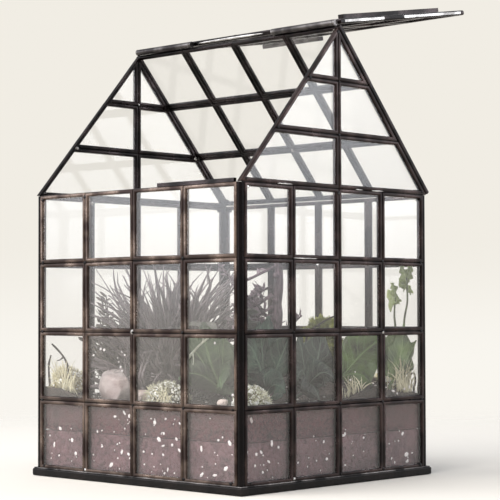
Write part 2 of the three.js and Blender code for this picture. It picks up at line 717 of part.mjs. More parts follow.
function addDriftwood() {
  const root = roots.driftwood;
  const [x, y] = root.at;
  const trunk = [...rootPoints(root, 6), [x + 1, y - 1, 100], [x - 1, y, 128], [x, y + 1, 149]];
  const branches = [
    { points: [[x, y, 116], [44, -22, 122], [34, -31, 114]], thick: 2.2, thin: 1.1 },
    { points: [[x, y, 104], [42, -28, 122], [31, -44, 146]], thick: 1.9, thin: 1 },
    { points: [[x, y, 88], [44, -20, 94], [36, -27, 91]], thick: 1.8, thin: 0.9 },
    { points: [[x, y, 96], [60, -6, 104], [67, -1, 112]], thick: 1.5, thin: 0.8 },
  ];
  let wood = stem(trunk, root.radius, 2.4, 7, 10);
  for (const { points, thick, thin } of branches) {
    wood = wood.add(stem(points, thick, thin, 5, 5));
  }
  for (const level of [108, 122, 138]) {
    wood = wood.add(pebbleShape([x + 2, y + 1, level], [2, 2, 2.4], level, 0, 0));
  }
  add(house, 'driftwood', mainBody(wood), bark);
}

function addTwigs() {
  const left = [...rootPoints(roots.twigLeft), [-77, -87, 80], [-91, -88, 92]];
  add(house, 'twig_left', stem(left, 0.9, 0.7), twigBark);
  const corner = [...rootPoints(roots.twigCorner), [-94, -88.5, 76], [-91, -89, 84]];
  add(house, 'twig_corner', stem(corner, 0.8, 0.6), twigBark);
  const right = [...rootPoints(roots.twigRight), [66, 5, 96], [69, 18, 107], [72, 34, 113]];
  add(house, 'twig_right', stem(right, 0.8, 0.6), twigBark);
  const pale = [...rootPoints(roots.paleStem), [38, -82, 80], [46, -83, 89], [60, -84, 98]];
  add(house, 'pale_stem', stem(pale, 0.9, 0.7), paleBark);
  const runner = [...rootPoints(roots.runner), [94, 89, 66], [94, 86, 72], [94, 82, 68]];
  add(house, 'runner', stem(runner, 0.7, 0.6), twigBark);
}

const broadLeaves = {
  leaf_front: {
    root: roots.leafFront, base: [52, -60, 60], middle: [48, -74, 82], tip: [48, -76, 108],
    width: 46, facing: [0.05, -1, 0.15], shape: 0.85, waves: 2, waveDepth: 0.05,
    finish: broadGreen,
  },
  leaf_corner: {
    root: roots.leafCorner, base: [73, -45, 58], middle: [80, -46, 80], tip: [76, -44, 112],
    width: 40, facing: [1, -0.2, 0.15], shape: 0.85, waves: 2, waveDepth: 0.05,
    finish: blueGreen,
  },
  leaf_dark: {
    root: roots.leafDark, base: [79.5, -12, 61], middle: [86, -3, 80], tip: [84, -1, 103],
    width: 38, facing: [1, 0, 0.2], shape: 0.85, waves: 2, waveDepth: 0.06, finish: blueGreen,
  },
  leaf_bright: {
    root: roots.leafBright, base: [84, 20, 70], middle: [88, 38, 86], tip: [88, 62, 80],
    width: 31, facing: [1, 0, 0.35], shape: 0.75, waves: 2, waveDepth: 0.06,
    finish: broadGreen,
  },
  leaf_wavy: {
    root: roots.leafWavy, base: [93.4, 66, 68], middle: [93.8, 73, 82], tip: [93.4, 77, 106],
    width: 30, facing: [1, 0, 0], shape: 0.75, waves: 3, waveDepth: 0.09, finish: broadGreen,
    fold: 0,
  },
  leaf_arch_left: {
    root: roots.leafArchLeft, base: [40, -44, 70], middle: [36, -58, 128], tip: [14, -78, 96],
    width: 13, facing: [-0.5, -1, 1], finish: darkBlade,
  },
  leaf_arch_right: {
    root: roots.leafArchRight, base: [62, -38, 84], middle: [66, -58, 136], tip: [86, -82, 104],
    width: 15, facing: [0.4, -1, 1], finish: blueGreen,
  },
};

function addBroadLeaves() {
  for (const [name, leaf] of Object.entries(broadLeaves)) {
    const [from, up] = rootPoints(leaf.root);
    const stalk = stem([from, up, leaf.base, leaf.middle.map((value, i) => (
      value * 0.15 + leaf.base[i] * 0.85
    ))], 1.1, 0.8, 5, 5);
    add(house, name, mainBody(leafBlade(leaf).add(stalk)), leaf.finish);
  }
}

function addSeedlings() {
  const seedling = (name, root, points, leaves) => {
    let plant = stem([...rootPoints(root, 28), ...points], root.radius, 0.7, 5, 8);
    for (const leaf of leaves) {
      plant = plant.add(leafBlade({ ...leaf, across: 2, along: 5, waves: 2, waveDepth: 0.12 }));
    }
    add(house, name, mainBody(plant), seedlingGreen);
  };
  seedling('seedling_tall', roots.seedlingTall, [[90.5, 82, 108], [91, 84, 122], [91, 83, 138]], [
    { base: [91, 83, 137], middle: [91, 85, 145], tip: [92, 88, 148], width: 8, facing: [1, 0, 0.4] },
    { base: [91, 83, 136], middle: [91, 78, 144], tip: [92, 74, 142], width: 9, facing: [1, 0, 0.4] },
    { base: [91, 84, 122], middle: [92, 87, 128], tip: [92, 88, 121], width: 7, facing: [1, 0, 0.3] },
  ]);
  seedling('seedling_short', roots.seedlingShort, [[88, 74, 104], [88, 73, 112], [88, 76, 124]], [
    { base: [88, 74, 114], middle: [89, 70, 118], tip: [90, 66, 108], width: 8, facing: [1, 0, 0.3] },
    { base: [88, 76, 123], middle: [88, 73, 132], tip: [89, 69, 134], width: 9, facing: [1, 0, 0.3] },
  ]);
}

// ---------------------------------------------------------------- the whole thing

addTray();
addWalls();
addGables();
addFixedSlope();
addCornerBeads();
addEaveStrip();
addLid();
addHinge('left', -1);
addHinge('right', 1);
addBed();
addMoss();
addGrassClump();
addFernSprig();
addDriftwood();
addTwigs();
addBroadLeaves();
addSeedlings();

export default house;
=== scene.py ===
# A small house-shaped glass terrarium: walls, gables and roof of square panes edged with dark
# metal came, the front slope swung open past the ridge, and a planted bed inside. Sections follow
# the order of assembly, from the tray up. Sizes are in millimetres until a piece is finished.

import math
import random

import bmesh
import bpy
from mathutils import Matrix, Vector, noise


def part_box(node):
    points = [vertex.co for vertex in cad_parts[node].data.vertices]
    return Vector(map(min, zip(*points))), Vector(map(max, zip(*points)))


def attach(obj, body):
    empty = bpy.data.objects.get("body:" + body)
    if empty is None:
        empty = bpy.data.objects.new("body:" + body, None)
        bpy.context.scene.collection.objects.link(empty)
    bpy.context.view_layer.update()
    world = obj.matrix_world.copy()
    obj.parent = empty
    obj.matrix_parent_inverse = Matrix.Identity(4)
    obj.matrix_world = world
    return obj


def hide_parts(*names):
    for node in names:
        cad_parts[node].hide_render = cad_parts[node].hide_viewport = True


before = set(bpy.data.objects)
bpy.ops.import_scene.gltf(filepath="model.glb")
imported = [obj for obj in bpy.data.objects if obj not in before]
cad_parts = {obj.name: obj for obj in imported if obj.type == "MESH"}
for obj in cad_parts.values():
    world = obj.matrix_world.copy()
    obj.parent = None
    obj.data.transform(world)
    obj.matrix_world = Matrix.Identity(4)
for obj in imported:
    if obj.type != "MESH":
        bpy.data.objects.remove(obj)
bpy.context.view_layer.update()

# ------------------------------------------------------------------ tray and bottom pane
# A folded sheet-metal tray with a rolled edge, blackened with patina. The bottom pane lies in it
# and the walls stand on the pane, a little inside the edge.

BODY = "house"
HOUSE_WIDTH, HOUSE_DEPTH = 200.0, 190.3
TRAY_HEIGHT = 5.0


def linear(code):
    """An sRGB hex colour as the linear colour that a shader takes."""
    parts = [int(code[i:i + 2], 16) / 255 for i in (0, 2, 4)]
    return (*[p / 12.92 if p <= 0.04045 else ((p + 0.055) / 1.055) ** 2.4 for p in parts], 1)


def add_node(tree, kind, sockets=None, **settings):
    """Adds a node with its settings. A socket takes a value, an sRGB hex colour, the output that
    it is linked to, or a node, whose first live output it is linked to."""
    node = tree.nodes.new("ShaderNode" + kind)
    for name, value in settings.items():
        setattr(node, name, value)
    for key, value in (sockets or {}).items():
        if isinstance(value, bpy.types.Node):
            value = next(output for output in value.outputs if output.enabled)
        if isinstance(value, bpy.types.NodeSocket):
            tree.links.new(value, node.inputs[key])
        else:
            node.inputs[key].default_value = linear(value) if isinstance(value, str) else value
    return node


def blank_material(name):
    """A new material, its node tree, and the outputs that say where on the piece a point is."""
    material = bpy.data.materials.new(name)
    material.use_nodes = True
    tree = material.node_tree
    tree.nodes.clear()
    return material, tree, add_node(tree, "TexCoord").outputs


def end_material(material, tree, shade, dark, light, roughness, relief=None, strength=0, depth=0,
                 metallic=0, invert=False):
    """Ends a material: two colours mixed by `shade`, the roughness, and the surface's fine relief,
    which is `depth` metres deep."""
    tint = add_node(tree, "Mix", {0: shade, 6: dark, 7: light}, data_type="RGBA")
    sockets = {"Base Color": tint, "Metallic": metallic, "Roughness": roughness}
    if relief:
        sockets["Normal"] = add_node(
            tree, "Bump", {"Height": relief, "Strength": strength, "Distance": depth}, invert=invert)
    shader = add_node(tree, "BsdfPrincipled", sockets)
    add_node(tree, "OutputMaterial", {"Surface": shader})
    return material


def patinated_metal(name, dark, light, roughness, spot=0.25):
    """Lead came or solder under a wiped-on patina: dark, satin, paler where it is rubbed."""
    material, tree, where = blank_material(name)
    # It is rubbed in patches about 16 mm long, and hand wiping dimples it every 2 mm or so.
    cloud = add_node(tree, "TexNoise", {"Vector": where["Object"], "Scale": 60, "Detail": 4})
    dimple = add_node(tree, "TexNoise", {"Vector": where["Object"], "Scale": 450, "Detail": 2})
    rubbed = add_node(tree, "MapRange", {0: cloud, 1: 0.42, 2: 0.42 + spot})
    satin = add_node(tree, "MapRange",
                     {0: cloud, 1: 0.3, 2: 0.7, 3: roughness + 0.1, 4: roughness - 0.08})
    return end_material(material, tree, rubbed, dark, light, satin, dimple, 0.35, 0.0004, 0.75)


def clear_glass(name, film):
    """Window glass, 1.4 mm. A thin film of dust and dried water makes it milky, more in patches
    about 30 mm wide."""
    material, tree, where = blank_material(name)
    streak = add_node(tree, "TexNoise", {"Vector": where["Object"], "Scale": 35, "Detail": 3})
    milky = add_node(tree, "MapRange", {0: streak, 1: 0.3, 2: 0.7, 3: film * 0.75, 4: film * 1.25})
    through = add_node(tree, "BsdfTransparent", {"Color": "FEFEFE"})
    dust = add_node(tree, "BsdfDiffuse", {"Color": "FAF9F6"})
    filmed = add_node(tree, "MixShader", {0: milky, 1: through, 2: dust})
    mirror = add_node(tree, "BsdfGlossy", {"Roughness": 0.03})
    # Both faces of a pane mirror alike: 4% straight on, and all of the light at a glancing angle.
    facing = add_node(tree, "LayerWeight", {"Blend": 0.5}).outputs["Facing"]
    glance = add_node(tree, "Math", {0: facing, 1: 5}, operation="POWER")
    mirrored = add_node(tree, "MapRange", {0: glance, 3: 0.043, 4: 1})
    shader = add_node(tree, "MixShader", {0: mirrored, 1: filmed, 2: mirror})
    add_node(tree, "OutputMaterial", {"Surface": shader})
    return material


def show(name, data):
    """Puts a mesh, a lamp or the camera in the scene."""
    thing = bpy.data.objects.new(name, data)
    bpy.context.collection.objects.link(thing)
    return thing


def make_piece(name, shape, material, slot, *replaced, body=BODY, place=Matrix()):
    """Turns a closed shape drawn in millimetres into a piece of the model."""
    bmesh.ops.transform(shape, matrix=place, verts=shape.verts)
    bmesh.ops.scale(shape, vec=(0.001, 0.001, 0.001), verts=shape.verts)
    mesh = bpy.data.meshes.new(name)
    shape.to_mesh(mesh)
    shape.free()
    mesh.materials.append(material)
    piece = show(name, mesh)
    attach(piece, body)
    if replaced:
        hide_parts(*replaced)
    return piece


def finish_node(node, material):
    """Gives a CAD node its real finish."""
    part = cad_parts[node]
    part.data.materials.clear()
    part.data.materials.append(material)


finish_node("base_tray", patinated_metal("black_patina_on_steel_sheet", "0B0807", "1B1513", 0.4))
finish_node("floor_pane", clear_glass("bottom_window_glass", film=0.03))

# ------------------------------------------------------------------ walls
# Each wall is sixteen small panes, four by four. Every pane has its own came folded round its
# edge, and the cames are soldered side by side, so that two rounded ridges with a groove between
# them run down each seam. No two panes sit quite true.

WALL_HEIGHT, ROOF_RISE = 191.5, 107.8
PANEL_DEPTH, CAME_FACE, CAME_ROUNDING, CORNER_GAP = 3.6, 2.8, 0.95, 0.15
SEAM_FACE, SEAM_SUNK = 0.7, 0.9
GLASS_LOW, GLASS_HIGH, GLASS_INSET, PANE_SIZE = 1.1, 2.5, 1.3, 48
DAB_CLEAR_OF_RAKE = 3.2
EAVES = TRAY_HEIGHT + WALL_HEIGHT
HALF_WIDTH, HALF_DEPTH = HOUSE_WIDTH / 2, HOUSE_DEPTH / 2
X, Y, Z = Vector((1, 0, 0)), Vector((0, 1, 0)), Vector((0, 0, 1))

came_metal = patinated_metal("bronze_patina_on_lead_came", "19100F", "4F403D", 0.3, 0.4)
# The front wall's came is a paler copy of the same patina: painted light where it faces the soft box.
lit_front_metal = patinated_metal("bronze_patina_on_came_painted_lit", "2A1E1A", "7E6D62", 0.3, 0.35)
solder_metal = patinated_metal("black_patina_on_solder", "080606", "191213", 0.28)
# Pale bare solder, used only for painted glints where crossings and edges catch the light.
painted_glint_metal = patinated_metal("bare_solder_as_painted_glints", "8C8986", "D8D6D2", 0.22)
pane_glass = clear_glass("small_window_panes", film=0.025)


def square_panes(half_width, height, columns, rows):
    """The outlines of a panel's panes, drawn flat."""
    wide, high = 2 * half_width / columns, height / rows
    return [[Vector((-half_width + (c + i) * wide, (r + j) * high))
             for i, j in ((0, 0), (1, 0), (1, 1), (0, 1))]
            for r in range(rows) for c in range(columns)]


def standing(across, along, out, origin):
    """Where a panel drawn flat goes, its outer face towards `out`."""
    turn = Matrix((across, along, out)).transposed().to_4x4()
    return Matrix.Translation(origin) @ turn


def put_in(shape, part):
    """Adds a shape that is drawn on its own to a larger one."""
    sheet = bpy.data.meshes.new("part")
    part.to_mesh(sheet)
    part.free()
    shape.from_mesh(sheet)
    bpy.data.meshes.remove(sheet)


def add_lump(shape, place, size, fine=2):
    """A rounded lump with the given half sizes."""
    return bmesh.ops.create_icosphere(shape, subdivisions=fine, radius=1,
                                      matrix=place @ Matrix.Diagonal((*size, 1)))["verts"]


def add_rings(shape, outlines, face, low, high, rounding):
    """Flat frames inside the outlines, `face` wide, from one depth to another."""
    flat = bmesh.new()
    middles = [flat.faces.new([flat.verts.new((*p, low)) for p in outline]) for outline in outlines]
    flat.normal_update()
    if face:
        bmesh.ops.inset_individual(flat, faces=middles, thickness=face, use_even_offset=True)
        bmesh.ops.delete(flat, geom=middles, context="FACES")
    grown = bmesh.ops.extrude_face_region(flat, geom=flat.faces[:])["geom"]
    raised = [v for v in grown if isinstance(v, bmesh.types.BMVert)]
    bmesh.ops.translate(flat, vec=(0, 0, high - low), verts=raised)
    bmesh.ops.recalc_face_normals(flat, faces=flat.faces)
    if rounding:
        round_over = [
            e for e in flat.edges
            if e.calc_face_angle(0) > 0.5 and abs((e.verts[0].co - e.verts[1].co).normalized().z) < 0.5
        ]
        bmesh.ops.bevel(flat, geom=round_over, offset=rounding, offset_type="OFFSET", segments=3,
                        profile=0.5, affect="EDGES", material=-1)
    put_in(shape, flat)


def untrue(outline, draw, shift, turn, grow):
    """An outline a little off its place, as hand work leaves it."""
    middle = sum(outline, Vector((0, 0))) / len(outline)
    spin = Matrix.Rotation(math.radians(draw.uniform(-turn, turn)), 2)
    move = Vector((draw.uniform(-shift, shift), draw.uniform(-shift, shift)))
    size = 1 + draw.uniform(-grow, grow)
    return [middle + move + spin @ ((p - middle) * size) for p in outline]


def smooth(shape, angle=40):
    """Rounded faces shade as one, and edges sharper than `angle` stay crisp."""
    for f in shape.faces:
        f.smooth = True
    for e in shape.edges:
        e.smooth = e.calc_face_angle(0) < math.radians(angle)


def add_panel(name, outlines, place, seed, metal, body=BODY):
    """The cames, the solder in their seams, the solder dabs where seams cross (some pale: painted glints),
    and the panes.
    """
    draw = random.Random(seed)
    cames = bmesh.new()
    for outline in outlines:
        crooked = untrue(outline, draw, shift=0.12, turn=0.25, grow=0.002)
        add_rings(cames, [crooked], CAME_FACE, 0, PANEL_DEPTH, CAME_ROUNDING)
    smooth(cames)
    make_piece(f"{name}_pane_cames", cames, metal, "came", f"{name}_cames", body=body, place=place)

    seams = bmesh.new()
    add_rings(seams, outlines, SEAM_FACE, SEAM_SUNK, PANEL_DEPTH - SEAM_SUNK, 0)
    make_piece(f"{name}_seam_solder", seams, solder_metal, "solder", body=body, place=place)

    corners = sorted({tuple(round(c, 2) for c in p) for outline in outlines for p in outline})
    bottom, top = (pick(v for _, v in corners) for pick in (min, max))
    # The second set of dabs is pale: painted glints where the crossings catch the light.
    for part, finish, share in (("joint_solder", solder_metal, 0.6), ("painted_glint_dabs", painted_glint_metal, 0.14)):
        dabs = bmesh.new()
        for u, v in corners:
            row_end = max(p[0] for p in corners if abs(p[1] - v) < 0.1)
            for depth in (0.25, PANEL_DEPTH - 0.25):
                if draw.random() < share:
                    size = draw.uniform(1.1, 1.9)
                    flat = size, size * draw.uniform(0.7, 1.0), 0.45
                    v_at = min(max(v + draw.uniform(-0.6, 0.6), bottom + 2), top - DAB_CLEAR_OF_RAKE)
                    # Dabs keep clear of the rake, where the shut lid lies.
                    most = max(row_end - DAB_CLEAR_OF_RAKE - max(v_at - v, 0), 0)
                    u_at = min(max(u + draw.uniform(-0.6, 0.6), -most), most)
                    add_lump(dabs, Matrix.Translation((u_at, v_at, depth)), flat)
        if not dabs.verts:
            dabs.free()
            continue
        smooth(dabs, 180)
        make_piece(f"{name}_{part}", dabs, finish, "solder", body=body, place=place)

    panes = bmesh.new()
    for outline in outlines:
        pane = bmesh.new()
        inner = untrue(outline, draw, shift=0.05, turn=0.1, grow=0)
        middle = sum(inner, Vector((0, 0))) / len(inner)
        shrunk = [middle + (p - middle) * (1 - 2 * GLASS_INSET / PANE_SIZE) for p in inner]
        add_rings(pane, [shrunk], 0, GLASS_LOW, GLASS_HIGH, 0)
        tilt = (Matrix.Rotation(math.radians(draw.uniform(-0.35, 0.35)), 4, "X")
                @ Matrix.Rotation(math.radians(draw.uniform(-0.35, 0.35)), 4, "Y"))
        centre = Matrix.Translation((*middle, PANEL_DEPTH / 2))
        bmesh.ops.transform(pane, matrix=centre @ tilt @ centre.inverted(), verts=pane.verts)
        put_in(panes, pane)
    make_piece(f"{name}_panes", panes, pane_glass, "glass", f"{name}_glass", body=body, place=place)


wide_panes = square_panes(HALF_WIDTH - PANEL_DEPTH - CORNER_GAP, WALL_HEIGHT, 4, 4)
deep_panes = square_panes(HALF_DEPTH - PANEL_DEPTH - CORNER_GAP, WALL_HEIGHT, 4, 4)
for seed, (name, outlines, across, out, reach, metal) in enumerate((
    ("front_wall", wide_panes, X, -Y, HALF_DEPTH, lit_front_metal),
    ("back_wall", wide_panes, -X, Y, HALF_DEPTH, came_metal),
    ("left_wall", deep_panes, -Y, -X, HALF_WIDTH, came_metal),
    ("right_wall", deep_panes, Y, X, HALF_WIDTH, came_metal),
), 1):
    origin = out * (reach - PANEL_DEPTH) + Z * TRAY_HEIGHT
    add_panel(name, outlines, standing(across, Z, out, origin), seed, metal)

# ------------------------------------------------------------------ solder at the foot
# A bead of solder, wiped while hot and a little wavy, runs round the foot of the walls on the tray.
# Its colour, paler than the seams', is a painted highlight.

BEAD_OUT = 0.8

far_x, far_y = HALF_WIDTH + BEAD_OUT, HALF_DEPTH + BEAD_OUT
foot = bmesh.new()
add_rings(foot, [[Vector((x * far_x, y * far_y)) for x, y in ((-1, -1), (1, -1), (1, 1), (-1, 1))]],
          face=0.75, low=TRAY_HEIGHT - 0.1, high=TRAY_HEIGHT + 0.8, rounding=0.3)
bmesh.ops.subdivide_edges(foot, edges=[e for e in foot.edges if e.calc_length() > 50], cuts=80)
for v in foot.verts:
    v.co.z += 0.15 * noise.noise(v.co * 0.15)
smooth(foot)
make_piece("foot_solder", foot, patinated_metal("foot_solder_with_painted_highlight", "1A1717", "8A8583", 0.25),
           "solder")

# ------------------------------------------------------------------ corner beads
# Where two walls meet, the groove between them is run full of solder, a quarter-round bead that
# is blackened like the rest.

for corner in ("back_right", "back_left", "front_left", "front_right"):
    finish_node(f"corner_bead_{corner}", solder_metal)

# ------------------------------------------------------------------ gables and fixed slope
# Two gables of three rows, cut to the rake, stand on the end walls. The back slope, four panes
# by three, is soldered to them from the ridge down to the back wall.

GABLE_ROWS = 3
SLOPE_LENGTH = math.hypot(HALF_DEPTH, ROOF_RISE)
ROOF_ANGLE = math.atan2(ROOF_RISE, HALF_DEPTH)
SLOPE_LIFT = 0.4
RIDGE = EAVES + ROOF_RISE


def gable_panes():
    """The outlines of a gable's panes, in pairs from the foot to the tip."""
    panes = []
    for row in range(GABLE_ROWS):
        low, high = (ROOF_RISE * (row + k) / GABLE_ROWS for k in (0, 1))
        half_low, half_high = (HALF_DEPTH * (1 - (row + k) / GABLE_ROWS) for k in (0, 1))
        right = [(0, low), (half_low, low), (half_high, high), (0, high)]
        if row == GABLE_ROWS - 1:
            right = right[:3]
        panes.append([Vector(p) for p in right])
        panes.append([Vector((-x, y)) for x, y in reversed(right)])
    return panes


# The roof's came is a blacker copy of the patina: painted shade on parts seen from their unlit side.
shaded_roof_metal = patinated_metal("roof_came_patina_with_painted_shade", "0D0A0A", "342B2B", 0.3)
for name, across, out, seed, metal in (("left_gable", -Y, -X, 5, shaded_roof_metal),
                                       ("right_gable", Y, X, 6, came_metal)):
    origin = out * (HALF_WIDTH - PANEL_DEPTH) + Z * EAVES
    add_panel(name, gable_panes(), standing(across, Z, out, origin), seed, metal)
down = Vector((0, math.cos(ROOF_ANGLE), -math.sin(ROOF_ANGLE)))
out = Vector((0, math.sin(ROOF_ANGLE), math.cos(ROOF_ANGLE)))
add_panel("back_slope", square_panes(HALF_WIDTH, SLOPE_LENGTH, 4, 3),
          standing(X, down, out, Z * RIDGE + out * SLOPE_LIFT), 7, shaded_roof_metal)
finish_node("eave_strip", shaded_roof_metal)

# Pale solder streaks along the right side are painted glints on the gable foot and a seam.
STREAK_X = 99.95
streaks = bmesh.new()
for start, end, level in ((-61, -46, 196.9), (17, 25, 196.7), (34, 47, 196.7), (-46, -22, 149.2)):
    add_lump(streaks, Matrix.Translation((STREAK_X, (start + end) / 2, level)),
             (0.4, (end - start) / 2, 0.5), 3)
for v in streaks.verts:
    v.co.z += 0.3 * noise.noise(v.co * 0.4)
smooth(streaks, 180)
make_piece("painted_glint_streaks", streaks, painted_glint_metal, "solder")

# ------------------------------------------------------------------ lid and hinges
# The front slope is a lid of four panes by three. Two short steel tubes soldered along its top
# edge turn on wires whose ends are soldered to the ridge. It rests open past the ridge.

LID_LENGTH, LID_OPEN = 140.0, math.radians(9.5)
HINGE_HEIGHT = 308.173
HINGE_RISE = HINGE_HEIGHT - RIDGE
LID_SWING = math.pi + ROOF_ANGLE - LID_OPEN

lid_down = Vector((0, -math.cos(ROOF_ANGLE), -math.sin(ROOF_ANGLE)))
lid_out = Vector((0, -math.sin(ROOF_ANGLE), math.cos(ROOF_ANGLE)))
shut = standing(-X, lid_down, lid_out, Z * -HINGE_RISE + lid_out * SLOPE_LIFT)
swung = Matrix.Translation((0, 0, HINGE_HEIGHT)) @ Matrix.Rotation(-LID_SWING, 4, "X")
add_panel("lid", square_panes(HALF_WIDTH, LID_LENGTH, 4, 3), swung @ shut, 8, shaded_roof_metal, "lid")

# Pale solder on the lid's right edge and a thin bead between the tubes are painted reflections.
edge = bmesh.new()
near, far = 0.1 - HALF_WIDTH, -0.1 - HALF_WIDTH
add_rings(edge, [[Vector(p) for p in ((far, 4), (near, 4), (near, LID_LENGTH - 4), (far, LID_LENGTH - 4))]],
          face=0, low=0.9, high=2.6, rounding=0)
add_lump(edge, Matrix.Translation((4, 0, 1.9)), (32, 0.35, 0.9), 4)
make_piece("lid_edge_painted_glint", edge, painted_glint_metal, "solder", body="lid", place=swung @ shut)

finish_node("lid_side_strip", shaded_roof_metal)
hinge_metal = patinated_metal("worn_steel_tube", "2A2627", "74706E", 0.35)
for node in ("lid_finger_tab", "hinge_tube_left", "hinge_tube_right", "hinge_wire_left",
             "hinge_wire_right"):
    finish_node(node, hinge_metal)

# ------------------------------------------------------------------ drainage layer
# Coarse grit mixed with earth fills the foot of the house. It was poured in first and pressed
# flat against the panes.


def crumbs(name, dark, light, size, open_top=None):
    """Loose crumbs about `size` mm across, each of its own shade, and of another colour on top."""
    material, tree, where = blank_material(name)
    drift = add_node(tree, "TexNoise", {"Vector": where["Object"], "Scale": 45, "Detail": 6})
    cells = add_node(tree, "TexVoronoi", {"Vector": where["Object"], "Scale": 1000 / size})
    own = add_node(tree, "SeparateColor", {0: cells.outputs["Color"]})
    blend = add_node(tree, "Math", {0: own, 1: 0.5, 2: drift}, operation="MULTIPLY_ADD")
    shade = add_node(tree, "MapRange", {0: blend, 1: 0.4, 2: 1.05})
    if open_top:
        # The open surface, from 52 mm up, is browner: damp, with crumbled dead leaf in it.
        dark, light = (add_node(tree, "Mix", {0: shade, 6: low, 7: high}, data_type="RGBA")
                       for low, high in ((dark, light), open_top))
        height = add_node(tree, "SeparateXYZ", {0: where["Object"]}).outputs["Z"]
        shade = add_node(tree, "MapRange", {0: height, 1: 0.0515, 2: 0.0535})
    return end_material(material, tree, shade, dark, light, 0.85, cells, 0.7, size * 0.0003,
                        invert=True)


def box_of(node):
    """The lowest and highest corners of a CAD node, in millimetres."""
    return [Vector(corner) * 1000 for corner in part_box(node)]


def packed_block(low, high, step, depth):
    """A block of loose stuff: its faces are pressed in by up to `depth`, more in some places."""
    size = high - low
    block = bmesh.new()
    whole = Matrix.Translation((low + high) / 2) @ Matrix.Diagonal((*size, 1))
    bmesh.ops.create_cube(block, size=1, matrix=whole)
    for axis in range(3):
        along = [e for e in block.edges
                 if abs((e.verts[0].co - e.verts[1].co).normalized()[axis]) > 0.9]
        bmesh.ops.subdivide_edges(block, edges=along, cuts=round(size[axis] / step) - 1,
                                  use_grid_fill=True)
    for v in block.verts:
        push = depth * min(max(0.5 + 0.6 * noise.fractal(v.co * 0.25, 1, 2.1, 4), 0), 1)
        for axis in range(3):
            if v.co[axis] - low[axis] < 0.01:
                v.co[axis] += push
            elif high[axis] - v.co[axis] < 0.01:
                v.co[axis] -= push
    return block


make_piece("packed_grit", packed_block(*box_of("drainage_layer"), step=2.4, depth=0.5),
           crumbs("earthy_drainage_grit", "40252A", "725055", 2.2), "grit", "drainage_layer")

# ------------------------------------------------------------------ soil
# Dark potting earth lies over the grit, banked up towards the back. The planting stands in it.

SOIL_LEVEL = 54.0


def soil_height(x, y):
    """How high the soil lies at a place."""
    mound = 30 * math.exp(-((x - 30) / 55) ** 2 - ((y - 50) / 40) ** 2)
    left_bank = 9 * math.exp(-((x + 95) / 30) ** 2 - ((y + 90) / 30) ** 2)
    return SOIL_LEVEL + mound + left_bank + 1.5 * math.sin(x / 9) * math.cos(y / 11)


soil_low, soil_high = box_of("soil_layer")
soil = packed_block(soil_low, Vector((soil_high.x, soil_high.y, SOIL_LEVEL)), step=2.0, depth=0.5)
for v in soil.verts:
    part_way = (v.co.z - soil_low.z) / (SOIL_LEVEL - soil_low.z)
    v.co.z = soil_low.z + part_way * (soil_height(v.co.x, v.co.y) - soil_low.z)
    v.co.z += 1.1 * part_way * noise.fractal(v.co * 0.3, 0.9, 2.1, 4)
earth = crumbs("dark_potting_earth", "2C1216", "5A3036", 1.6, ("15100E", "4A3E38"))
make_piece("potting_soil", soil, earth, "earth", "soil_layer")

# ------------------------------------------------------------------ white grains
# Expanded perlite, crushed white grains of one to four millimetres, was mixed through the bed. It
# shows where it is pressed against the panes, and lies here and there on top.

GRAINS_IN_FRONT = (13, 26, 34, 17)
GRAINS_AT_RIGHT = (14, 12, 10, 12)
GRAINS_ELSEWHERE = (14, 14, 14, 14)
INNER_X, INNER_Y = 96.2, 91.4


def add_grain(shape, draw, at, out, radius):
    """An angular grain, its flat side towards `out`."""
    turn = out.to_track_quat("Z", "Y").to_matrix().to_4x4()
    spin = Matrix.Rotation(draw.uniform(0, math.tau), 4, "Z")
    long, short = radius * draw.uniform(0.8, 1.35), radius * draw.uniform(0.5, 1.0)
    add_lump(shape, Matrix.Translation(at) @ turn @ spin, (long, short, min(short, 0.6)), 1)


def perlite_white():
    """Perlite: chalky white, with pits a third of a millimetre wide."""
    material, tree, where = blank_material("chalky_perlite")
    pits = add_node(tree, "TexNoise", {"Vector": where["Object"], "Scale": 3000, "Detail": 2})
    return end_material(material, tree, pits, "F1E6E6", "FFFDFC", 0.95, pits, 0.4, 0.0002)


draw = random.Random(41)
grains = bmesh.new()
for across, out, half, reach, counts, top in (
    (X, -Y, HALF_WIDTH, -soil_low.y, GRAINS_IN_FRONT, 47),
    (Y, X, HALF_DEPTH, soil_high.x, GRAINS_AT_RIGHT, 36),
    (X, Y, HALF_WIDTH, soil_high.y, GRAINS_ELSEWHERE, 45),
    (Y, -X, HALF_DEPTH, -soil_low.x, GRAINS_ELSEWHERE, 45),
):
    for pane, count in enumerate(counts):
        for _ in range(count):
            along = -half + (pane + draw.uniform(0.12, 0.88)) * half / 2
            height = TRAY_HEIGHT + 4 + (top - TRAY_HEIGHT - 4) * draw.random() ** 1.3
            at = across * along + out * (reach - draw.uniform(0.3, 0.4)) + Z * height
            add_grain(grains, draw, at, out, draw.choice((0.5, 0.6, 0.8, 1.0, 1.4, 1.9)))
for _ in range(170):
    x, y = draw.uniform(-93, 93), draw.uniform(-88, 88)
    add_grain(grains, draw, Vector((x, y, soil_height(x, y) + 0.3)), Z, draw.uniform(0.5, 1.3))
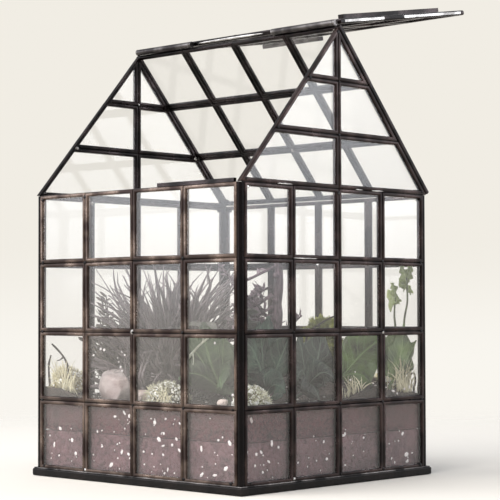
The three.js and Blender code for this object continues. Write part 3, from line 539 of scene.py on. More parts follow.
# A few grains lie against the inside of the front and right panes, at the places listed.
for x, z, size in (
    (-35.6, 89.4, 1.2), (-32, 88.8, 1.0), (-43, 85, 1.1), (-14.4, 87.7, 0.8), (-11.4, 85.7, 1.0),
    (-18.4, 83.6, 0.6), (-17.4, 80.9, 0.7), (-15.4, 77.6, 1.0), (-14.2, 74.9, 0.8),
    (73.4, 94.8, 1.0), (89.2, 62.4, 1.1),
):
    add_grain(grains, draw, Vector((x, -INNER_Y, z)), -Y, size)
for y, z, size in (
    (61, 59.4, 1.5), (73.3, 60.3, 1.2), (78.9, 61.5, 1.5), (65.4, 57.5, 0.9), (85.7, 58, 1.0),
    (20.2, 73.7, 0.7), (15, 68.5, 0.9),
):
    add_grain(grains, draw, Vector((INNER_X, y, z)), X, size)
make_piece("perlite_grains", grains, perlite_white(), "pale_stone")

# ------------------------------------------------------------------ stones
# A worn pinkish rock and a few pale pebbles, sunk a little into the soil.


def stone_skin(name, dark, light, grain):
    """Worn stone: cloudy, with crystals about `grain` mm across."""
    material, tree, where = blank_material(name)
    cloud = add_node(tree, "TexNoise", {"Vector": where["Object"], "Scale": 90, "Detail": 5})
    crystal = add_node(tree, "TexNoise", {"Vector": where["Object"], "Scale": 1000 / grain, "Detail": 2})
    blend = add_node(tree, "Math", {0: crystal, 1: 0.45, 2: cloud}, operation="MULTIPLY_ADD")
    shade = add_node(tree, "MapRange", {0: blend, 1: 0.5, 2: 0.95})
    return end_material(material, tree, shade, dark, light, 0.7, crystal, 0.5, 0.0004)


def add_stone(node, material, slot, seed, rough, flats):
    """A stone that fills its CAD node's box. Flats are worn on it along random planes."""
    low, high = box_of(node)
    draw = random.Random(seed)
    stone = bmesh.new()
    bmesh.ops.create_icosphere(stone, subdivisions=5, radius=1)
    shift = Vector((seed * 3.1, seed * 1.7, 0))
    for v in stone.verts:
        way = v.co.normalized()
        v.co = way * (1 + rough * noise.fractal(way * 1.3 + shift, 1, 2.2, 5))
    for k in range(flats):
        way = Vector((draw.gauss(0, 1), draw.gauss(0, 1), draw.gauss(0, 1)) if k else (0.2, -0.3, 1))
        way.normalize()
        cut = draw.uniform(0.66, 0.88) if k else 0.6
        for v in stone.verts:
            over = v.co.dot(way) - cut
            if over > 0:
                v.co -= way * over * 0.8
    lowest, highest = ([pick(v.co[k] for v in stone.verts) for k in range(3)] for pick in (min, max))
    for v in stone.verts:
        v.co = Vector([low[k] + (v.co[k] - lowest[k]) / (highest[k] - lowest[k]) * (high[k] - low[k])
                       for k in range(3)])
    smooth(stone, 180)
    make_piece(f"{node}_worn", stone, material, slot, node)


pink_rock = stone_skin("pinkish_sandstone", "A28C89", "E1D7D5", 0.7)
pale_pebble = stone_skin("pale_river_pebble", "BFA9A0", "F0E2DA", 0.5)
add_stone("rock_large", pink_rock, "rock", 1, 0.12, 9)
add_stone("pebble_front", pale_pebble, "pale_stone", 2, 0.2, 3)
add_stone("pebble_corner", pale_pebble, "pale_stone", 3, 0.2, 3)
add_stone("pebble_bed", pink_rock, "rock", 4, 0.15, 2)
add_stone("pebble_right", pale_pebble, "pale_stone", 5, 0.2, 3)

# ------------------------------------------------------------------ moss
# Cushions of moss with short pale-tipped shoots, and two tufts of longer wiry ones. They were laid
# on the soil, and those at the panes are flattened by the glass.

GOLDEN_ANGLE = 2.39996
MOSS_SPREAD = 5
PLANT_X, PLANT_Y = 95.8, 91.0


def moss_skin(name, deep, tip, centre, size):
    """Moss: painted shade darkens it deep between the shoots, and it is pale at their tips."""
    material, tree, where = blank_material(name)
    aside = add_node(tree, "VectorMath", {0: where["Object"], 1: centre * 0.001}, operation="SUBTRACT")
    scaled = add_node(tree, "VectorMath", {0: aside, 1: size * 0.001}, operation="DIVIDE")
    reach = add_node(tree, "VectorMath", {0: scaled}, operation="LENGTH")
    patch = add_node(tree, "TexNoise", {"Vector": where["Object"], "Scale": 350, "Detail": 3})
    lift = add_node(tree, "Math", {0: patch, 1: 0.5, 2: reach}, operation="MULTIPLY_ADD")
    # Darkest nearer the cushion's middle: painted shade between the shoots.
    shade = add_node(tree, "MapRange", {0: lift, 1: 1.15, 2: 1.6})
    return end_material(material, tree, shade, deep, tip, 0.9)


def keep_inside(shape, low, high, margin=0):
    """Holds a shape within a box, `margin` clear of its sides."""
    for v in shape.verts:
        v.co = Vector([min(max(v.co[k], low[k] + margin), high[k] - margin) for k in range(3)])


def add_moss(node, slot, deep, tip, size, seed, shoots, length, radius, buds):
    """A dome of moss on the soil at its node's place, closely set with shoots and pale buds."""
    low, high = box_of(node)
    draw = random.Random(seed)
    x, y = (low.x + high.x) / 2, (low.y + high.y) / 2
    centre = Vector((x, y, soil_height(x, y)))
    # Its skirt creeps a few millimetres over the soil, as far as the glass.
    low = Vector((max(low.x - MOSS_SPREAD, -PLANT_X), max(low.y - MOSS_SPREAD, -PLANT_Y), low.z))
    high = Vector((min(high.x + MOSS_SPREAD, PLANT_X), min(high.y + MOSS_SPREAD, PLANT_Y), high.z))
    size = Vector(size)
    moss = bmesh.new()
    add_lump(moss, Matrix.Translation(centre), size * 0.9, 4)
    for v in moss.verts:
        v.co = centre + (v.co - centre) * (1 + 0.3 * noise.noise(v.co * 0.14))
    for i in range(shoots):
        rise = 1 - (i + 0.5) / shoots * 1.02
        turn = i * GOLDEN_ANGLE
        flat = math.sqrt(max(1 - rise * rise, 0))
        way = Vector((flat * math.cos(turn), flat * math.sin(turn), rise))
        reach = Vector([way[k] * size[k] * 0.9 for k in range(3)])
        root = centre + reach * (0.95 + 0.3 * noise.noise((centre + reach) * 0.14))
        way += Vector((draw.gauss(0, 0.5), draw.gauss(0, 0.5), draw.gauss(0.2, 0.45)))
        way.normalize()
        tall = draw.uniform(*length)
        stand = Matrix.Translation(root + way * tall / 2) @ way.to_track_quat("Z", "Y").to_matrix().to_4x4()
        bmesh.ops.create_cone(moss, cap_ends=True, segments=3, radius1=radius * draw.uniform(0.7, 1.2),
                              radius2=radius * 0.25, depth=tall, matrix=stand)
    keep_inside(moss, low, high)
    make_piece(f"{node}_shoots", moss, moss_skin(f"{node}_green", deep, tip, centre, size), slot, node)

    specks = bmesh.new()
    for _ in range(buds):
        way = Vector((draw.gauss(0, 1), draw.gauss(0, 1), abs(draw.gauss(0.2, 0.8)))).normalized()
        at = centre + Vector([way[k] * size[k] * draw.uniform(1, 1.2) for k in range(3)])
        if at.z > soil_height(at.x, at.y) and all(low[k] + 1 < at[k] < high[k] - 1 for k in range(3)):
            add_grain(specks, draw, at, way, draw.uniform(0.35, 1.1))
    if specks.verts:
        make_piece(f"{node}_buds", specks, pale_bud, slot)
    else:
        specks.free()


pale_bud = moss_skin("pale_moss_bud", "FFFAE6", "FFFFFA", Vector((0, 0, 0)), Vector((60, 60, 60)))
# The numbers are the half sizes, the seed, the shoots, their lengths and radius, and the buds.
add_moss("moss_left", "olive_moss", "8A7A40", "FFF8D2", (11, 11, 13), 11, 1300, (2, 7), 0.4, 420)
add_moss("moss_front", "pale_moss", "4E4730", "F2EFD2", (15.5, 9, 11.5), 12, 1500, (2, 6), 0.5, 380)
add_moss("moss_corner", "pale_moss", "726C3E", "FFFFE4", (7, 14, 12), 13, 1300, (2, 5.5), 0.45, 460)
add_moss("moss_mound", "green_moss", "4C5216", "BCC05C", (21, 17, 29), 14, 1500, (2, 4), 0.7, 0)
add_moss("moss_right", "olive_moss", "7E702F", "FFF8CC", (7, 10, 15), 15, 1100, (2, 7), 0.4, 420)

# ------------------------------------------------------------------ grass-like clump
# A dark evergreen with narrow stiff blades that fan out from one crown: long ones at its middle,
# and short arching ones round its foot.


def leaf_skin(name, dark, light, vein, ribs, gloss=0.45, through=0.2):
    """A living leaf: cloudy green, with a paler midrib and `ribs` pairs of side veins."""
    material, tree, where = blank_material(name)
    cloud = add_node(tree, "TexNoise", {"Vector": where["Object"], "Scale": 70, "Detail": 5})
    shade = add_node(tree, "MapRange", {0: cloud, 1: 0.35, 2: 0.65})
    tint = add_node(tree, "Mix", {0: shade, 6: dark, 7: light}, data_type="RGBA")
    flat = add_node(tree, "SeparateXYZ", {0: where["UV"]}).outputs
    off_middle = add_node(tree, "Math", {0: flat["X"], 1: 0.5}, operation="SUBTRACT")
    off_rib = add_node(tree, "Math", {0: off_middle}, operation="ABSOLUTE")
    slanted = add_node(tree, "Math", {0: off_rib, 1: -0.5, 2: flat["Y"]}, operation="MULTIPLY_ADD")
    spaced = add_node(tree, "Math", {0: slanted, 1: ribs}, operation="MULTIPLY")
    between = add_node(tree, "Math", {0: spaced, 1: 0.5}, operation="PINGPONG")
    side_vein = add_node(tree, "MapRange", {0: between, 1: 0, 2: 0.12, 3: 0.4, 4: 0})
    midrib = add_node(tree, "MapRange", {0: off_rib, 1: 0.01, 2: 0.035, 3: 0.7, 4: 0})
    veins = add_node(tree, "Math", {0: side_vein, 1: midrib}, operation="MAXIMUM")
    veined = add_node(tree, "Mix", {0: veins, 6: tint, 7: vein}, data_type="RGBA")
    bump = add_node(tree, "Bump", {"Height": veins, "Strength": 0.5, "Distance": 0.0005})
    skin = add_node(tree, "BsdfPrincipled", {"Base Color": veined, "Roughness": gloss, "Normal": bump})
    glow = add_node(tree, "BsdfTranslucent", {"Color": veined})
    shader = add_node(tree, "MixShader", {0: through, 1: skin, 2: glow})
    add_node(tree, "OutputMaterial", {"Surface": shader})
    return material


def leaf_sheets():
    """A mesh for flat leaves. Its UVs run across a leaf and from its base to its tip."""
    sheets = bmesh.new()
    sheets.loops.layers.uv.new("leaf")
    return sheets


def add_blade(sheets, base, middle, tip, width, facing, swell=0.6, waves=0, wave=0, fold=0.12,
              across=2, along=7, curl=0):
    """A leaf along a bent midrib, its upper face towards `facing`."""
    base, middle, tip, facing = (Vector(p) for p in (base, middle, tip, facing))
    grid = bmesh.ops.create_grid(sheets, x_segments=across, y_segments=along, size=1, calc_uvs=True)
    for v in grid["verts"]:
        u, t = v.co.x, (v.co.y + 1) / 2
        here = base * (1 - t) ** 2 + middle * 2 * t * (1 - t) + tip * t * t
        way = ((middle - base) * (1 - t) + (tip - middle) * t).normalized()
        side = way.cross(facing).normalized()
        out = side.cross(way)
        half = width / 2 * max(math.sin(math.pi * t ** swell), 0.06)
        ripple = math.sin(math.tau * waves * t + u)
        v.co = (here + side * (u * half * (1 + wave * ripple))
                + out * (-fold * abs(u) * half - curl * u * u * half + wave * 4 * u * ripple))


def make_leaves(name, sheets, material, slot, thickness, *replaced):
    """Turns flat leaves into a piece as thick as real ones."""
    for f in sheets.faces:
        f.smooth = True
    piece = make_piece(name, sheets, material, slot, *replaced)
    body = piece.modifiers.new("thickness", "SOLIDIFY")
    body.thickness, body.offset = thickness * 0.001, 0


draw = random.Random(21)
crown = Vector((-20, -40, soil_height(-20, -40) + 1))
blades = leaf_sheets()
for count, steepest, length, width, arch, spread in (
    (150, 0.62, (72, 112), (1.8, 3.4), 0.62, 8),
    (210, 0.95, (50, 88), (1.6, 3.2), 0.6, 14),
    (220, 1.4, (26, 62), (1.8, 3.6), 0.5, 22),
    (220, 1.5, (20, 52), (2.0, 4.2), 0.25, 34),
):
    for i in range(count):
        turn = i * GOLDEN_ANGLE + draw.uniform(-0.3, 0.3)
        lean = steepest * math.sqrt((i + 0.5) / count)
        long = draw.uniform(*length)
        outward = Vector((1.1 * math.cos(turn), 0.95 * math.sin(turn), 0))
        bend = Vector((draw.gauss(0, 1), draw.gauss(0, 1), 0)) * long * 0.08
        start = crown + outward * draw.uniform(1, spread)
        middle = start + outward * long * 0.35 * math.sin(lean) + Z * long * arch + bend
        tip = start + outward * long * math.sin(lean) + Z * long * math.cos(lean) * draw.uniform(0.8, 1)
        tip -= bend * 0.8
        twist = Vector((draw.uniform(-0.5, 0.5), draw.uniform(-0.5, 0.5), 0.3))
        add_blade(blades, start, middle, tip, draw.uniform(*width), outward + twist, swell=0.8,
                  fold=0.25)
keep_inside(blades, *box_of("grass_clump"), 0.4)
make_leaves("grass_blades", blades, leaf_skin("dark_stiff_blade", "2C2528", "95878A", "A09496", 0),
            "dark_blade", 0.5, "grass_clump")

# ------------------------------------------------------------------ fern sprig
# Thin arching fronds, each set with small pointed leaflets, rise from a bushy foot.


def smooth_line(points, t):
    """The place at `t`, from 0 to 1, on a smooth line through the points."""
    last = len(points) - 1
    k = min(int(t * last), last - 1)
    s = t * last - k
    a, b, c, d = (points[min(max(i, 0), last)] for i in (k - 1, k, k + 1, k + 2))
    return (b * 2 + (c - a) * s + (a * 2 - b * 5 + c * 4 - d) * s ** 2
            + (b * 3 - a - c * 3 + d) * s ** 3) / 2


def add_stem(shape, points, thick, thin, sides=6, steps=10, rough=0):
    """A tapering round stem along a smooth line through the points."""
    points = [Vector(p) for p in points]
    rod = bmesh.new()
    bmesh.ops.create_cone(rod, cap_ends=True, segments=sides, radius1=1, radius2=1, depth=1)
    rails = [e for e in rod.edges if abs(e.verts[0].co.z - e.verts[1].co.z) > 0.5]
    bmesh.ops.subdivide_edges(rod, edges=rails, cuts=steps - 1)
    chord = (points[-1] - points[0]).normalized()
    aside = X if abs(chord.x) < 0.8 else Y
    for v in rod.verts:
        t = v.co.z + 0.5
        way = smooth_line(points, min(t + 0.02, 1)) - smooth_line(points, max(t - 0.02, 0))
        side = way.cross(aside).normalized()
        other = side.cross(way).normalized()
        here = smooth_line(points, t)
        spread = side * v.co.x + other * v.co.y
        ridge = 1 + rough * noise.noise(spread * 1.5 + here * 0.12)
        v.co = here + spread * (thick + (thin - thick) * t) * ridge
    put_in(shape, rod)


def bark_skin(name, dark, light, grain):
    """Bark or dead wood: long streaks, about `grain` mm wide, that run up the stem."""
    material, tree, where = blank_material(name)
    drawn_out = add_node(tree, "VectorMath", {0: where["Object"], 1: Vector((1, 1, 0.2))},
                         operation="MULTIPLY")
    streak = add_node(tree, "TexNoise", {"Vector": drawn_out, "Scale": 1000 / grain, "Detail": 5})
    shade = add_node(tree, "MapRange", {0: streak, 1: 0.35, 2: 0.65})
    return end_material(material, tree, shade, dark, light, 0.85, streak, 0.8, grain * 0.0004)


draw = random.Random(31)
foot = Vector((-70, -50, soil_height(-70, -50)))
leaflets = leaf_sheets()
stalks = bmesh.new()
add_stem(stalks, [foot - Z * 8, foot, foot + Z * 8], 3.0, 2.2, sides=8, steps=4, rough=0.3)
for count, height, reach, leaves in ((12, (46, 74), (8, 20), 16), (70, (12, 52), (6, 22), 12)):
    for i in range(count):
        turn = i * GOLDEN_ANGLE + 0.3
        outward = Vector((math.cos(turn), math.sin(turn), 0))
        up, far = draw.uniform(*height), draw.uniform(*reach)
        line = [foot + Z * 2, foot + outward * far * 0.3 + Z * up * 0.55, foot + outward * far + Z * up]
        add_stem(stalks, line, 0.8, 0.35, sides=5, steps=8)
        for k in range(leaves):
            t = 0.3 + 0.7 * k / leaves
            root = smooth_line(line, t)
            spin = turn + (1.1 if k % 2 else -1.1) + draw.uniform(-0.4, 0.4)
            way = Vector((math.cos(spin), math.sin(spin), draw.uniform(0.1, 0.9)))
            end = root + way * draw.uniform(5, 9) * (1.2 - 0.6 * t)
            add_blade(leaflets, root, (root + end) / 2 + Z * 0.8, end, draw.uniform(1.5, 2.6),
                      outward + Z, swell=0.8, fold=0.2, along=4)
for part in (leaflets, stalks):
    keep_inside(part, *box_of("fern_sprig"), 0.3)
make_leaves("fern_leaflets", leaflets, leaf_skin("dull_fern_green", "3A3230", "6E635C", "7C7268", 0),
            "fern_green", 0.35, "fern_sprig")
make_piece("fern_stalks", stalks, bark_skin("wiry_fern_stalk", "2A2320", "5A4E46", 1), "fern_green")

# ------------------------------------------------------------------ driftwood
# A knotted upright stick of grey-purple driftwood, its bark gone. Side branches run down to the
# left in thin broken twigs, with dry mauve leaves caught in them.


def add_branch(wood, draw, line, thick, thin, twiglets, reach):
    """A crooked branch with thin broken twigs along it."""
    add_stem(wood, line, thick, thin, sides=7, steps=14, rough=0.5)
    points = [Vector(p) for p in line]
    for k in range(twiglets):
        t = 0.2 + 0.78 * k / twiglets
        root = smooth_line(points, t)
        along = (smooth_line(points, min(t + 0.05, 1)) - smooth_line(points, t - 0.05)).normalized()
        way = (along * 0.8 + Vector((draw.uniform(-1, 0.6), draw.uniform(-0.8, 0.8),
                                     draw.uniform(-0.9, 0.8)))).normalized()
        end = root + way * draw.uniform(*reach)
        bend = (root + end) / 2 + Vector((draw.gauss(0, 0.8), draw.gauss(0, 0.8), draw.gauss(0, 0.8)))
        add_stem(wood, [root, bend, end], thin * 0.75, 0.25, sides=4, steps=5, rough=0.3)


draw = random.Random(51)
wood_box = box_of("driftwood")
wood = bmesh.new()
dry = leaf_sheets()
x, y = 52, -14
ground = soil_height(x, y)
add_stem(wood, [(x, y, ground - 8), (x, y, ground + 6), (52.6, -12, 84), (53, -10.6, 104),
                (53, -9.4, 122), (53, -8.6, 137), (52.6, -9, 149)],
         3.9, 2.6, sides=14, steps=60, rough=0.4)
for line, thick, thin, twiglets in (
    (((52, -14, 132), (46, -19, 128), (40, -24, 122), (35, -30, 113)), 1.5, 0.5, 26),
    (((52, -14, 126), (45, -21, 119), (38, -28, 113), (33, -34, 104)), 1.6, 0.5, 30),
    (((52, -14, 118), (44, -22, 110), (37, -30, 99)), 1.5, 0.5, 28),
    (((52, -14, 108), (43, -26, 122), (31, -44, 146)), 1.5, 0.9, 8),
    (((52, -9, 146), (49, -20, 141), (47, -36, 135)), 1.3, 0.8, 2),
    (((52, -14, 108), (45, -20, 106), (40, -25, 98)), 1.4, 0.5, 26),
    (((52, -14, 100), (45, -22, 96), (36, -30, 86)), 1.4, 0.5, 24),
    (((52, -14, 90), (46, -20, 88), (38, -26, 80)), 1.4, 0.5, 22),
    (((52, -14, 84), (58, -8, 86), (66, -2, 84)), 1.4, 0.5, 26),
    (((52, -14, 96), (60, -6, 104), (67, -1, 112)), 1.2, 0.6, 3),
):
    add_branch(wood, draw, line, thick * 0.8, thin, twiglets, (4, 13))
    for _ in range(2 * twiglets):
        root = smooth_line([Vector(p) for p in line], draw.uniform(0.25, 1))
        way = Vector((draw.uniform(-1, 0.4), draw.uniform(-1, 0.4), draw.uniform(-0.3, 0.9))).normalized()
        end = root + way * draw.uniform(4, 9)
        add_blade(dry, root, (root + end) / 2 + Z, end, draw.uniform(1.2, 3), (0.7, -0.7, 0.3),
                  swell=0.7, waves=2, wave=0.15, fold=0.2, along=5)
# Loose straight twigs lean up through the branches, from the lower left to the right.
for _ in range(34):
    start = Vector((draw.uniform(31, 48), draw.uniform(-44, -22), draw.uniform(72, 102)))
    end = start + Vector((0.72, 0.68, draw.uniform(0.1, 0.7))) * draw.uniform(12, 34)
    bend = (start + end) / 2 + Z * draw.gauss(0, 0.6)
    add_stem(wood, [start, bend, end], 0.7, 0.35, sides=5, steps=6, rough=0.3)
for level, size in ((108, 2.0), (122, 2.3), (139, 2.2), (94, 1.8)):
    knot = Vector((x + 2.0, y + 1.6, level))
    for v in add_lump(wood, Matrix.Translation(knot), (size, size, size * 0.9), 3):
        v.co += (v.co - knot) * 0.3 * noise.noise(v.co * 0.6)
keep_inside(wood, *wood_box)
smooth(wood, 60)
make_piece("driftwood_stick", wood, bark_skin("purple_grey_driftwood", "34272B", "75626A", 1.6),
           "bark", "driftwood")
keep_inside(dry, *wood_box, 0.2)
make_leaves("driftwood_dry_leaves", dry, leaf_skin("dried_mauve_leaf", "4C3A42", "9A8690", "A8969E", 0),
            "bark", 0.3)

# ------------------------------------------------------------------ twigs
# Loose dark twigs pushed into the soil at the panes, one pale stem, and a thin dry runner.


def add_twig(node, slot, material, points, thick, thin, *side_twigs):
    """A twig along the CAD node's line, crooked and rough, with short side twigs."""
    twig = bmesh.new()
    add_stem(twig, points, thick, thin, sides=8, steps=24, rough=0.45)
    for line in side_twigs:
        add_stem(twig, line, thin * 0.8, thin * 0.4, steps=6, rough=0.3)
    keep_inside(twig, *box_of(node))
    smooth(twig, 60)
    make_piece(f"{node}_bark", twig, material, slot, node)


def rooted(x, y, above=2):
    """The first points of a stem: up out of its hole in the soil."""
    ground = soil_height(x, y)
    return [(x, y, ground - 8), (x, y, ground + above)]


dark_bark = bark_skin("dark_twig_bark", "120D0C", "3A2E2A", 0.8)
pale_bark = bark_skin("pale_dry_stem", "9AA08C", "DDE0CF", 0.8)
add_twig("twig_left", "twig_bark", dark_bark, [*rooted(-72, -86), (-77, -87, 80), (-91, -88, 92)],
         0.9, 0.7, [(-80, -87.2, 83), (-83, -87.3, 81), (-86, -87.4, 80.5)])
add_twig("twig_corner", "twig_bark", dark_bark,
         [*rooted(-93.5, -88), (-94, -88.5, 76), (-91, -89, 84)], 0.8, 0.6)
add_twig("twig_right", "twig_bark", dark_bark,
         [*rooted(64, 2), (66, 5, 96), (69, 18, 107), (72, 34, 113)], 0.8, 0.6,
         [(68, 15, 105), (68.5, 18, 101), (69, 21, 99)])
add_twig("pale_stem", "pale_bark", pale_bark,
         [*rooted(36, -83), (38, -82, 80), (46, -83, 89), (60, -84, 98)], 0.9, 0.7,
         [(45, -83, 88), (46, -83.2, 84), (45.5, -83.3, 80)],
         [(52, -83.5, 93), (55, -83.6, 96), (55, -83.7, 98)])
add_twig("runner", "twig_bark", dark_bark,
         [*rooted(93, 88), (94, 89, 66), (94, 86, 72), (94, 82, 68)], 0.7, 0.6)

# ------------------------------------------------------------------ broad leaves
# Soft leaves on short stalks, with waved edges and clear veins. Five stand behind the panes of the
# third row, and two long ones arch over the middle of the front corner.


def add_broad_leaf(node, slot, material, root, base, middle, tip, width, facing, others=(), **form):
    """A leaf with the CAD node's own bend, others round it, and their stalk."""
    leaf = leaf_sheets()
    add_blade(leaf, base, middle, tip, width, facing, across=10, along=26, **form)
    keep_inside(leaf, *box_of(node), 0.3)
    for other_middle, other_tip, other_width in others:
        add_blade(leaf, base, other_middle, other_tip, other_width, facing, swell=0.75, waves=3,
                  wave=0.1, fold=0.3, across=8, along=18, curl=0.12)
    for v in leaf.verts:
        v.co += Vector(facing).normalized() * noise.noise(v.co * 0.09)
        v.co.x, v.co.y = min(v.co.x, PLANT_X - 0.2), max(v.co.y, 0.4 - PLANT_Y)
    make_leaves(f"{node}_blade", leaf, material, slot, 0.6, node)
    stalk = bmesh.new()
    base, middle = Vector(base), Vector(middle)
    add_stem(stalk, [*rooted(*root), base, base * 0.85 + middle * 0.15], 1.1, 0.8, sides=8, steps=14)
    smooth(stalk, 60)
    make_piece(f"{node}_stalk", stalk, material, slot)


green_leaf = leaf_skin("soft_green_leaf", "1E321A", "557048", "7A9468", 9)
bright_leaf = leaf_skin("bright_green_leaf", "222C0C", "5E7A36", "80A05C", 8)
wavy_leaf = leaf_skin("waved_green_leaf", "30441E", "75904E", "A0B684", 7)
blue_leaf = leaf_skin("blue_green_leaf", "12201A", "4C6C58", "6A8672", 7)
dark_leaf = leaf_skin("dark_green_leaf", "0B120D", "46554A", "7A8A7C", 8)
arch_leaf = leaf_skin("grey_arching_leaf", "35352F", "66665C", "84837A", 0)
add_broad_leaf("leaf_front", "broad_green", green_leaf, (52, -56), (52, -60, 60), (48, -74, 82),
               (48, -76, 108), 46, (0.05, -1, 0.15), [
                   ((41, -76, 82), (33, -84, 70), 26), ((62, -78, 82), (73, -85, 66), 26),
                   ((41, -73, 88), (31, -81, 98), 24), ((62, -75, 90), (74, -82, 99), 26),
               ], swell=0.85, waves=2, wave=0.05, curl=0.1)
add_broad_leaf("leaf_corner", "blue_green", blue_leaf, (70, -44), (73, -45, 58), (80, -46, 80),
               (76, -44, 112), 40, (1, -0.2, 0.15), [
                   ((86, -62, 90), (90, -82, 96), 28), ((88, -45, 84), (91, -39, 101), 26),
                   ((88, -54, 74), (92, -45, 62), 22), ((84, -58, 92), (88, -66, 108), 24),
               ], swell=0.85, waves=2, wave=0.05, fold=0.3)
add_broad_leaf("leaf_dark", "blue_green", dark_leaf, (76, -18), (79.5, -12, 61), (86, -3, 80),
               (84, -1, 103), 38, (1, 0, 0.2), [
                   ((90, -24, 86), (92, -34, 70), 22), ((91, -8, 84), (93, 5, 66), 22),
                   ((88, -22, 92), (91, -32, 98), 24), ((90, -18, 74), (93, -13, 56), 18),
               ], swell=0.85, waves=2, wave=0.06, fold=0.2)
add_broad_leaf("leaf_bright", "broad_green", bright_leaf, (78, 22), (84, 20, 70), (88, 38, 86),
               (88, 62, 80), 31, (1, 0, 0.35), [
                   ((90, 16, 78), (92, 10, 84), 24), ((90, 38, 90), (92, 58, 97), 28),
                   ((91, 34, 76), (93, 42, 64), 20),
               ], swell=0.75, waves=2, wave=0.06)
add_broad_leaf("leaf_wavy", "broad_green", wavy_leaf, (92.5, 62), (93.4, 66, 68), (93.8, 73, 82),
               (93.4, 77, 106), 30, (1, 0, 0), [
                   ((93, 61, 84), (94, 66, 103), 20), ((94, 84, 84), (94.2, 89, 94), 14),
               ], swell=0.75, waves=3, wave=0.09, fold=0)
add_broad_leaf("leaf_arch_left", "dark_blade", arch_leaf, (40, -40), (40, -44, 70), (36, -58, 128),
               (14, -78, 96), 13, (-0.5, -1, 1))
add_broad_leaf("leaf_arch_right", "blue_green", arch_leaf, (62, -34), (62, -38, 84), (66, -58, 136),
               (86, -82, 104), 15, (0.4, -1, 1))

# ------------------------------------------------------------------ dry wisps
# Bleached wisps of dead grass, half a millimetre to one wide, stand in the soil between the panes
# and the moss or leaves, and lean on the glass.

draw = random.Random(61)
wisps = leaf_sheets()
for x, y, wide, deep, count, tall in (
    (94.6, 77, 0.6, 7.5, 60, (8, 27)),
    (-74, -89.8, 6, 0.5, 50, (8, 22)),
    (94.4, 20, 0.6, 6, 26, (5, 14)),
    (22, -89.8, 7, 0.5, 24, (5, 12)),
):
    for _ in range(count):
        root = Vector((draw.gauss(x, wide), draw.gauss(y, deep), 0))
        root.z = soil_height(root.x, root.y) - 0.5
        lean = Vector((draw.gauss(0, wide), draw.gauss(0, deep), 0))
        long = draw.uniform(*tall)
        add_blade(wisps, root, root + lean * 0.2 + Z * long * 0.7, root + lean + Z * long,
                  draw.uniform(0.5, 1.2), X if wide < deep else -Y, swell=0.7, fold=0.2, along=5)
for v in wisps.verts:
    v.co.x = min(max(v.co.x, -PLANT_X), PLANT_X)
    v.co.y = min(max(v.co.y, 0.1 - PLANT_Y), PLANT_Y - 0.1)
straw = leaf_skin("bleached_dry_grass", "A89E6E", "F6F0D2", "FFFBE6", 0, gloss=0.5, through=0.3)
make_leaves("dry_wisps", wisps, straw, "olive_moss", 0.2)

# ------------------------------------------------------------------ seedlings
# Two young weeds, a tall and a short one, lean on the far right panes. Thin stalks carry small
# lobed leaves of a fresh yellow green.


def add_seedling(node, root, points, leaves):
    """A seedling's stalk, through its points, and its leaves."""
    stalk = bmesh.new()
    add_stem(stalk, [*rooted(*root, above=28), *points], 0.9, 0.6, sides=8, steps=24, rough=0.1)
    smooth(stalk, 60)
    make_piece(f"{node}_stalk", stalk, seedling_stalk, "seedling_green")
    leaf = leaf_sheets()
    for base, middle, tip, width, waves in leaves:
        add_blade(leaf, base, middle, tip, width, (1, 0, 0.4), swell=0.7, waves=waves, wave=0.22,
                  fold=0.15, across=6, along=18)
    keep_inside(leaf, *box_of(node), 0.2)
    make_leaves(f"{node}_leaves", leaf, seedling_leaf, "seedling_green", 0.4, node)


seedling_leaf = leaf_skin("fresh_seedling_leaf", "93A066", "DCE6AE", "F0F4D8", 5, through=0.5)
seedling_stalk = bark_skin("green_seedling_stalk", "3C4030", "6E7656", 1)
add_seedling("seedling_tall", (90, 80), [(90.5, 81, 108), (91, 84, 122), (91, 83, 138)], [
    ((91, 83, 133), (92, 80, 143), (92, 74, 146), 13, 3),
    ((91, 83, 135), (92, 86, 142), (92, 88, 148), 9, 3),
    ((91, 84, 128), (92, 87, 132), (92, 88.5, 127), 8, 2),
    ((91, 83, 131), (92, 78, 136), (92, 74, 131), 10, 3),
])
add_seedling("seedling_short", (88, 75), [(88, 74, 104), (88, 73, 112), (88, 74, 124)], [
    ((88, 74, 123), (89, 69, 128), (90, 66, 114), 11, 3),
    ((88, 74, 124), (88, 73, 132), (89, 68, 134), 10, 3),
    ((88, 74, 120), (89, 76, 125), (90, 78, 121), 7, 2),
])

# ------------------------------------------------------------------ camera, light and floor
# The camera stands at the photograph's place, a little above the floor and looking slightly up.
# The floor is a pale paper sweep, lit by one large soft box in front and above, and by the room.

ROLL = math.radians(-0.14)
scene = bpy.context.scene

back = Vector((0.6873, -0.7256, -0.0340)).normalized()
level = Z.cross(back).normalized()
aside = level * math.cos(ROLL) + back.cross(level) * math.sin(ROLL)
above = back.cross(aside)
lens = bpy.data.cameras.new("camera")
lens.lens, lens.sensor_width = 121.5, 36
lens.clip_start, lens.clip_end = 0.05, 50
scene.camera = show("camera", lens)
scene.camera.matrix_world = (Matrix.Translation((0.8289, -0.8562, 0.1174))
                             @ Matrix((aside, above, back)).transposed().to_4x4())
scene.view_settings.view_transform = "Standard"
scene.cycles.transparent_max_bounces = 24

lamp = bpy.data.lights.new("top_soft_box", "AREA")
lamp.shape, lamp.size, lamp.size_y = "RECTANGLE", 1.6, 1.6
lamp.energy, lamp.color = 50, linear("FFFAF4")[:3]
hung, middle = Vector((-0.1, -1.2, 1.8)), Vector((0, 0, 0.17))
faced = (hung - middle).normalized().to_track_quat("Z", "Y").to_matrix().to_4x4()
show("top_soft_box", lamp).matrix_world = Matrix.Translation(hung) @ faced

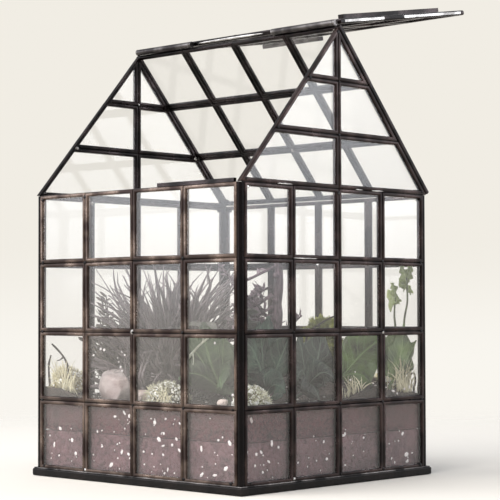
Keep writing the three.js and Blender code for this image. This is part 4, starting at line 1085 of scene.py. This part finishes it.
# The room is a pale cove. A broad glow stands at each side, where the glass mirrors it.
scene.world = bpy.data.worlds.new("studio")
scene.world.use_nodes = True
tree = scene.world.node_tree
tree.nodes.clear()
way = add_node(tree, "TexCoord").outputs["Generated"]
height = add_node(tree, "SeparateXYZ", {0: way}).outputs["Z"]
cove = add_node(tree, "MapRange", {0: height, 1: -0.035, 2: 0.045}, interpolation_type="SMOOTHSTEP")
backdrop = add_node(tree, "Mix", {0: cove, 6: "F9F6EF", 7: "F1EDE4"}, data_type="RGBA")
seen = add_node(tree, "Background", {"Color": backdrop, "Strength": 1})
level_of_light = add_node(tree, "MapRange", {0: height, 1: -0.08, 2: 0.02, 3: 0.9, 4: 0.5})
for towards, tight, strength, foot in (
    ((-0.66, -0.69, 0.30), 30, 8.0, 0.75),
    ((0.66, 0.70, 0.26), 40, 5.4, 0.15),
    ((-0.68, 0.73, 0.10), 8, 0.3, 1.0),
    ((0.0, 0.35, 0.94), 4, 0.6, 1.0),
):
    along = add_node(tree, "VectorMath", {0: way, 1: Vector(towards).normalized()},
                     operation="DOT_PRODUCT")
    front = add_node(tree, "Math", {0: along, 1: 0}, operation="MAXIMUM")
    lobe = add_node(tree, "Math", {0: front, 1: tight}, operation="POWER")
    rise = add_node(tree, "MapRange", {0: height, 1: -0.035, 2: 0.05, 3: foot, 4: 1})
    glow = add_node(tree, "Math", {0: lobe, 1: rise}, operation="MULTIPLY")
    level_of_light = add_node(tree, "Math", {0: glow, 1: strength, 2: level_of_light},
                              operation="MULTIPLY_ADD")
daylight = add_node(tree, "Mix", {0: cove, 6: "FBF3E8", 7: "F3F6FC"}, data_type="RGBA")
around = add_node(tree, "Background", {"Color": daylight, "Strength": level_of_light})
direct = add_node(tree, "LightPath").outputs["Is Camera Ray"]
both = add_node(tree, "MixShader", {0: direct, 1: around, 2: seen})
add_node(tree, "OutputWorld", {"Surface": both})

# The paper fades out 0.3 to 0.85 m from the middle, and the room's pale ground goes on.
sweep = bmesh.new()
bmesh.ops.create_grid(sweep, x_segments=1, y_segments=1, size=4)
mesh = bpy.data.meshes.new("floor")
sweep.to_mesh(mesh)
sweep.free()
floor = show("floor", mesh)
floor.location.z = -0.0002
paper, tree, where = blank_material("white_paper_floor")
sheet = add_node(tree, "BsdfDiffuse", {"Color": "DAD7D1"})
reach = add_node(tree, "VectorMath", {0: where["Object"]}, operation="LENGTH")
fade = add_node(tree, "MapRange", {0: reach, 1: 0.3, 2: 0.85}, interpolation_type="SMOOTHSTEP")
open_air = add_node(tree, "BsdfTransparent")
paling = add_node(tree, "MixShader", {0: fade, 1: sheet, 2: open_air})
add_node(tree, "OutputMaterial", {"Surface": paling})
mesh.materials.append(paper)
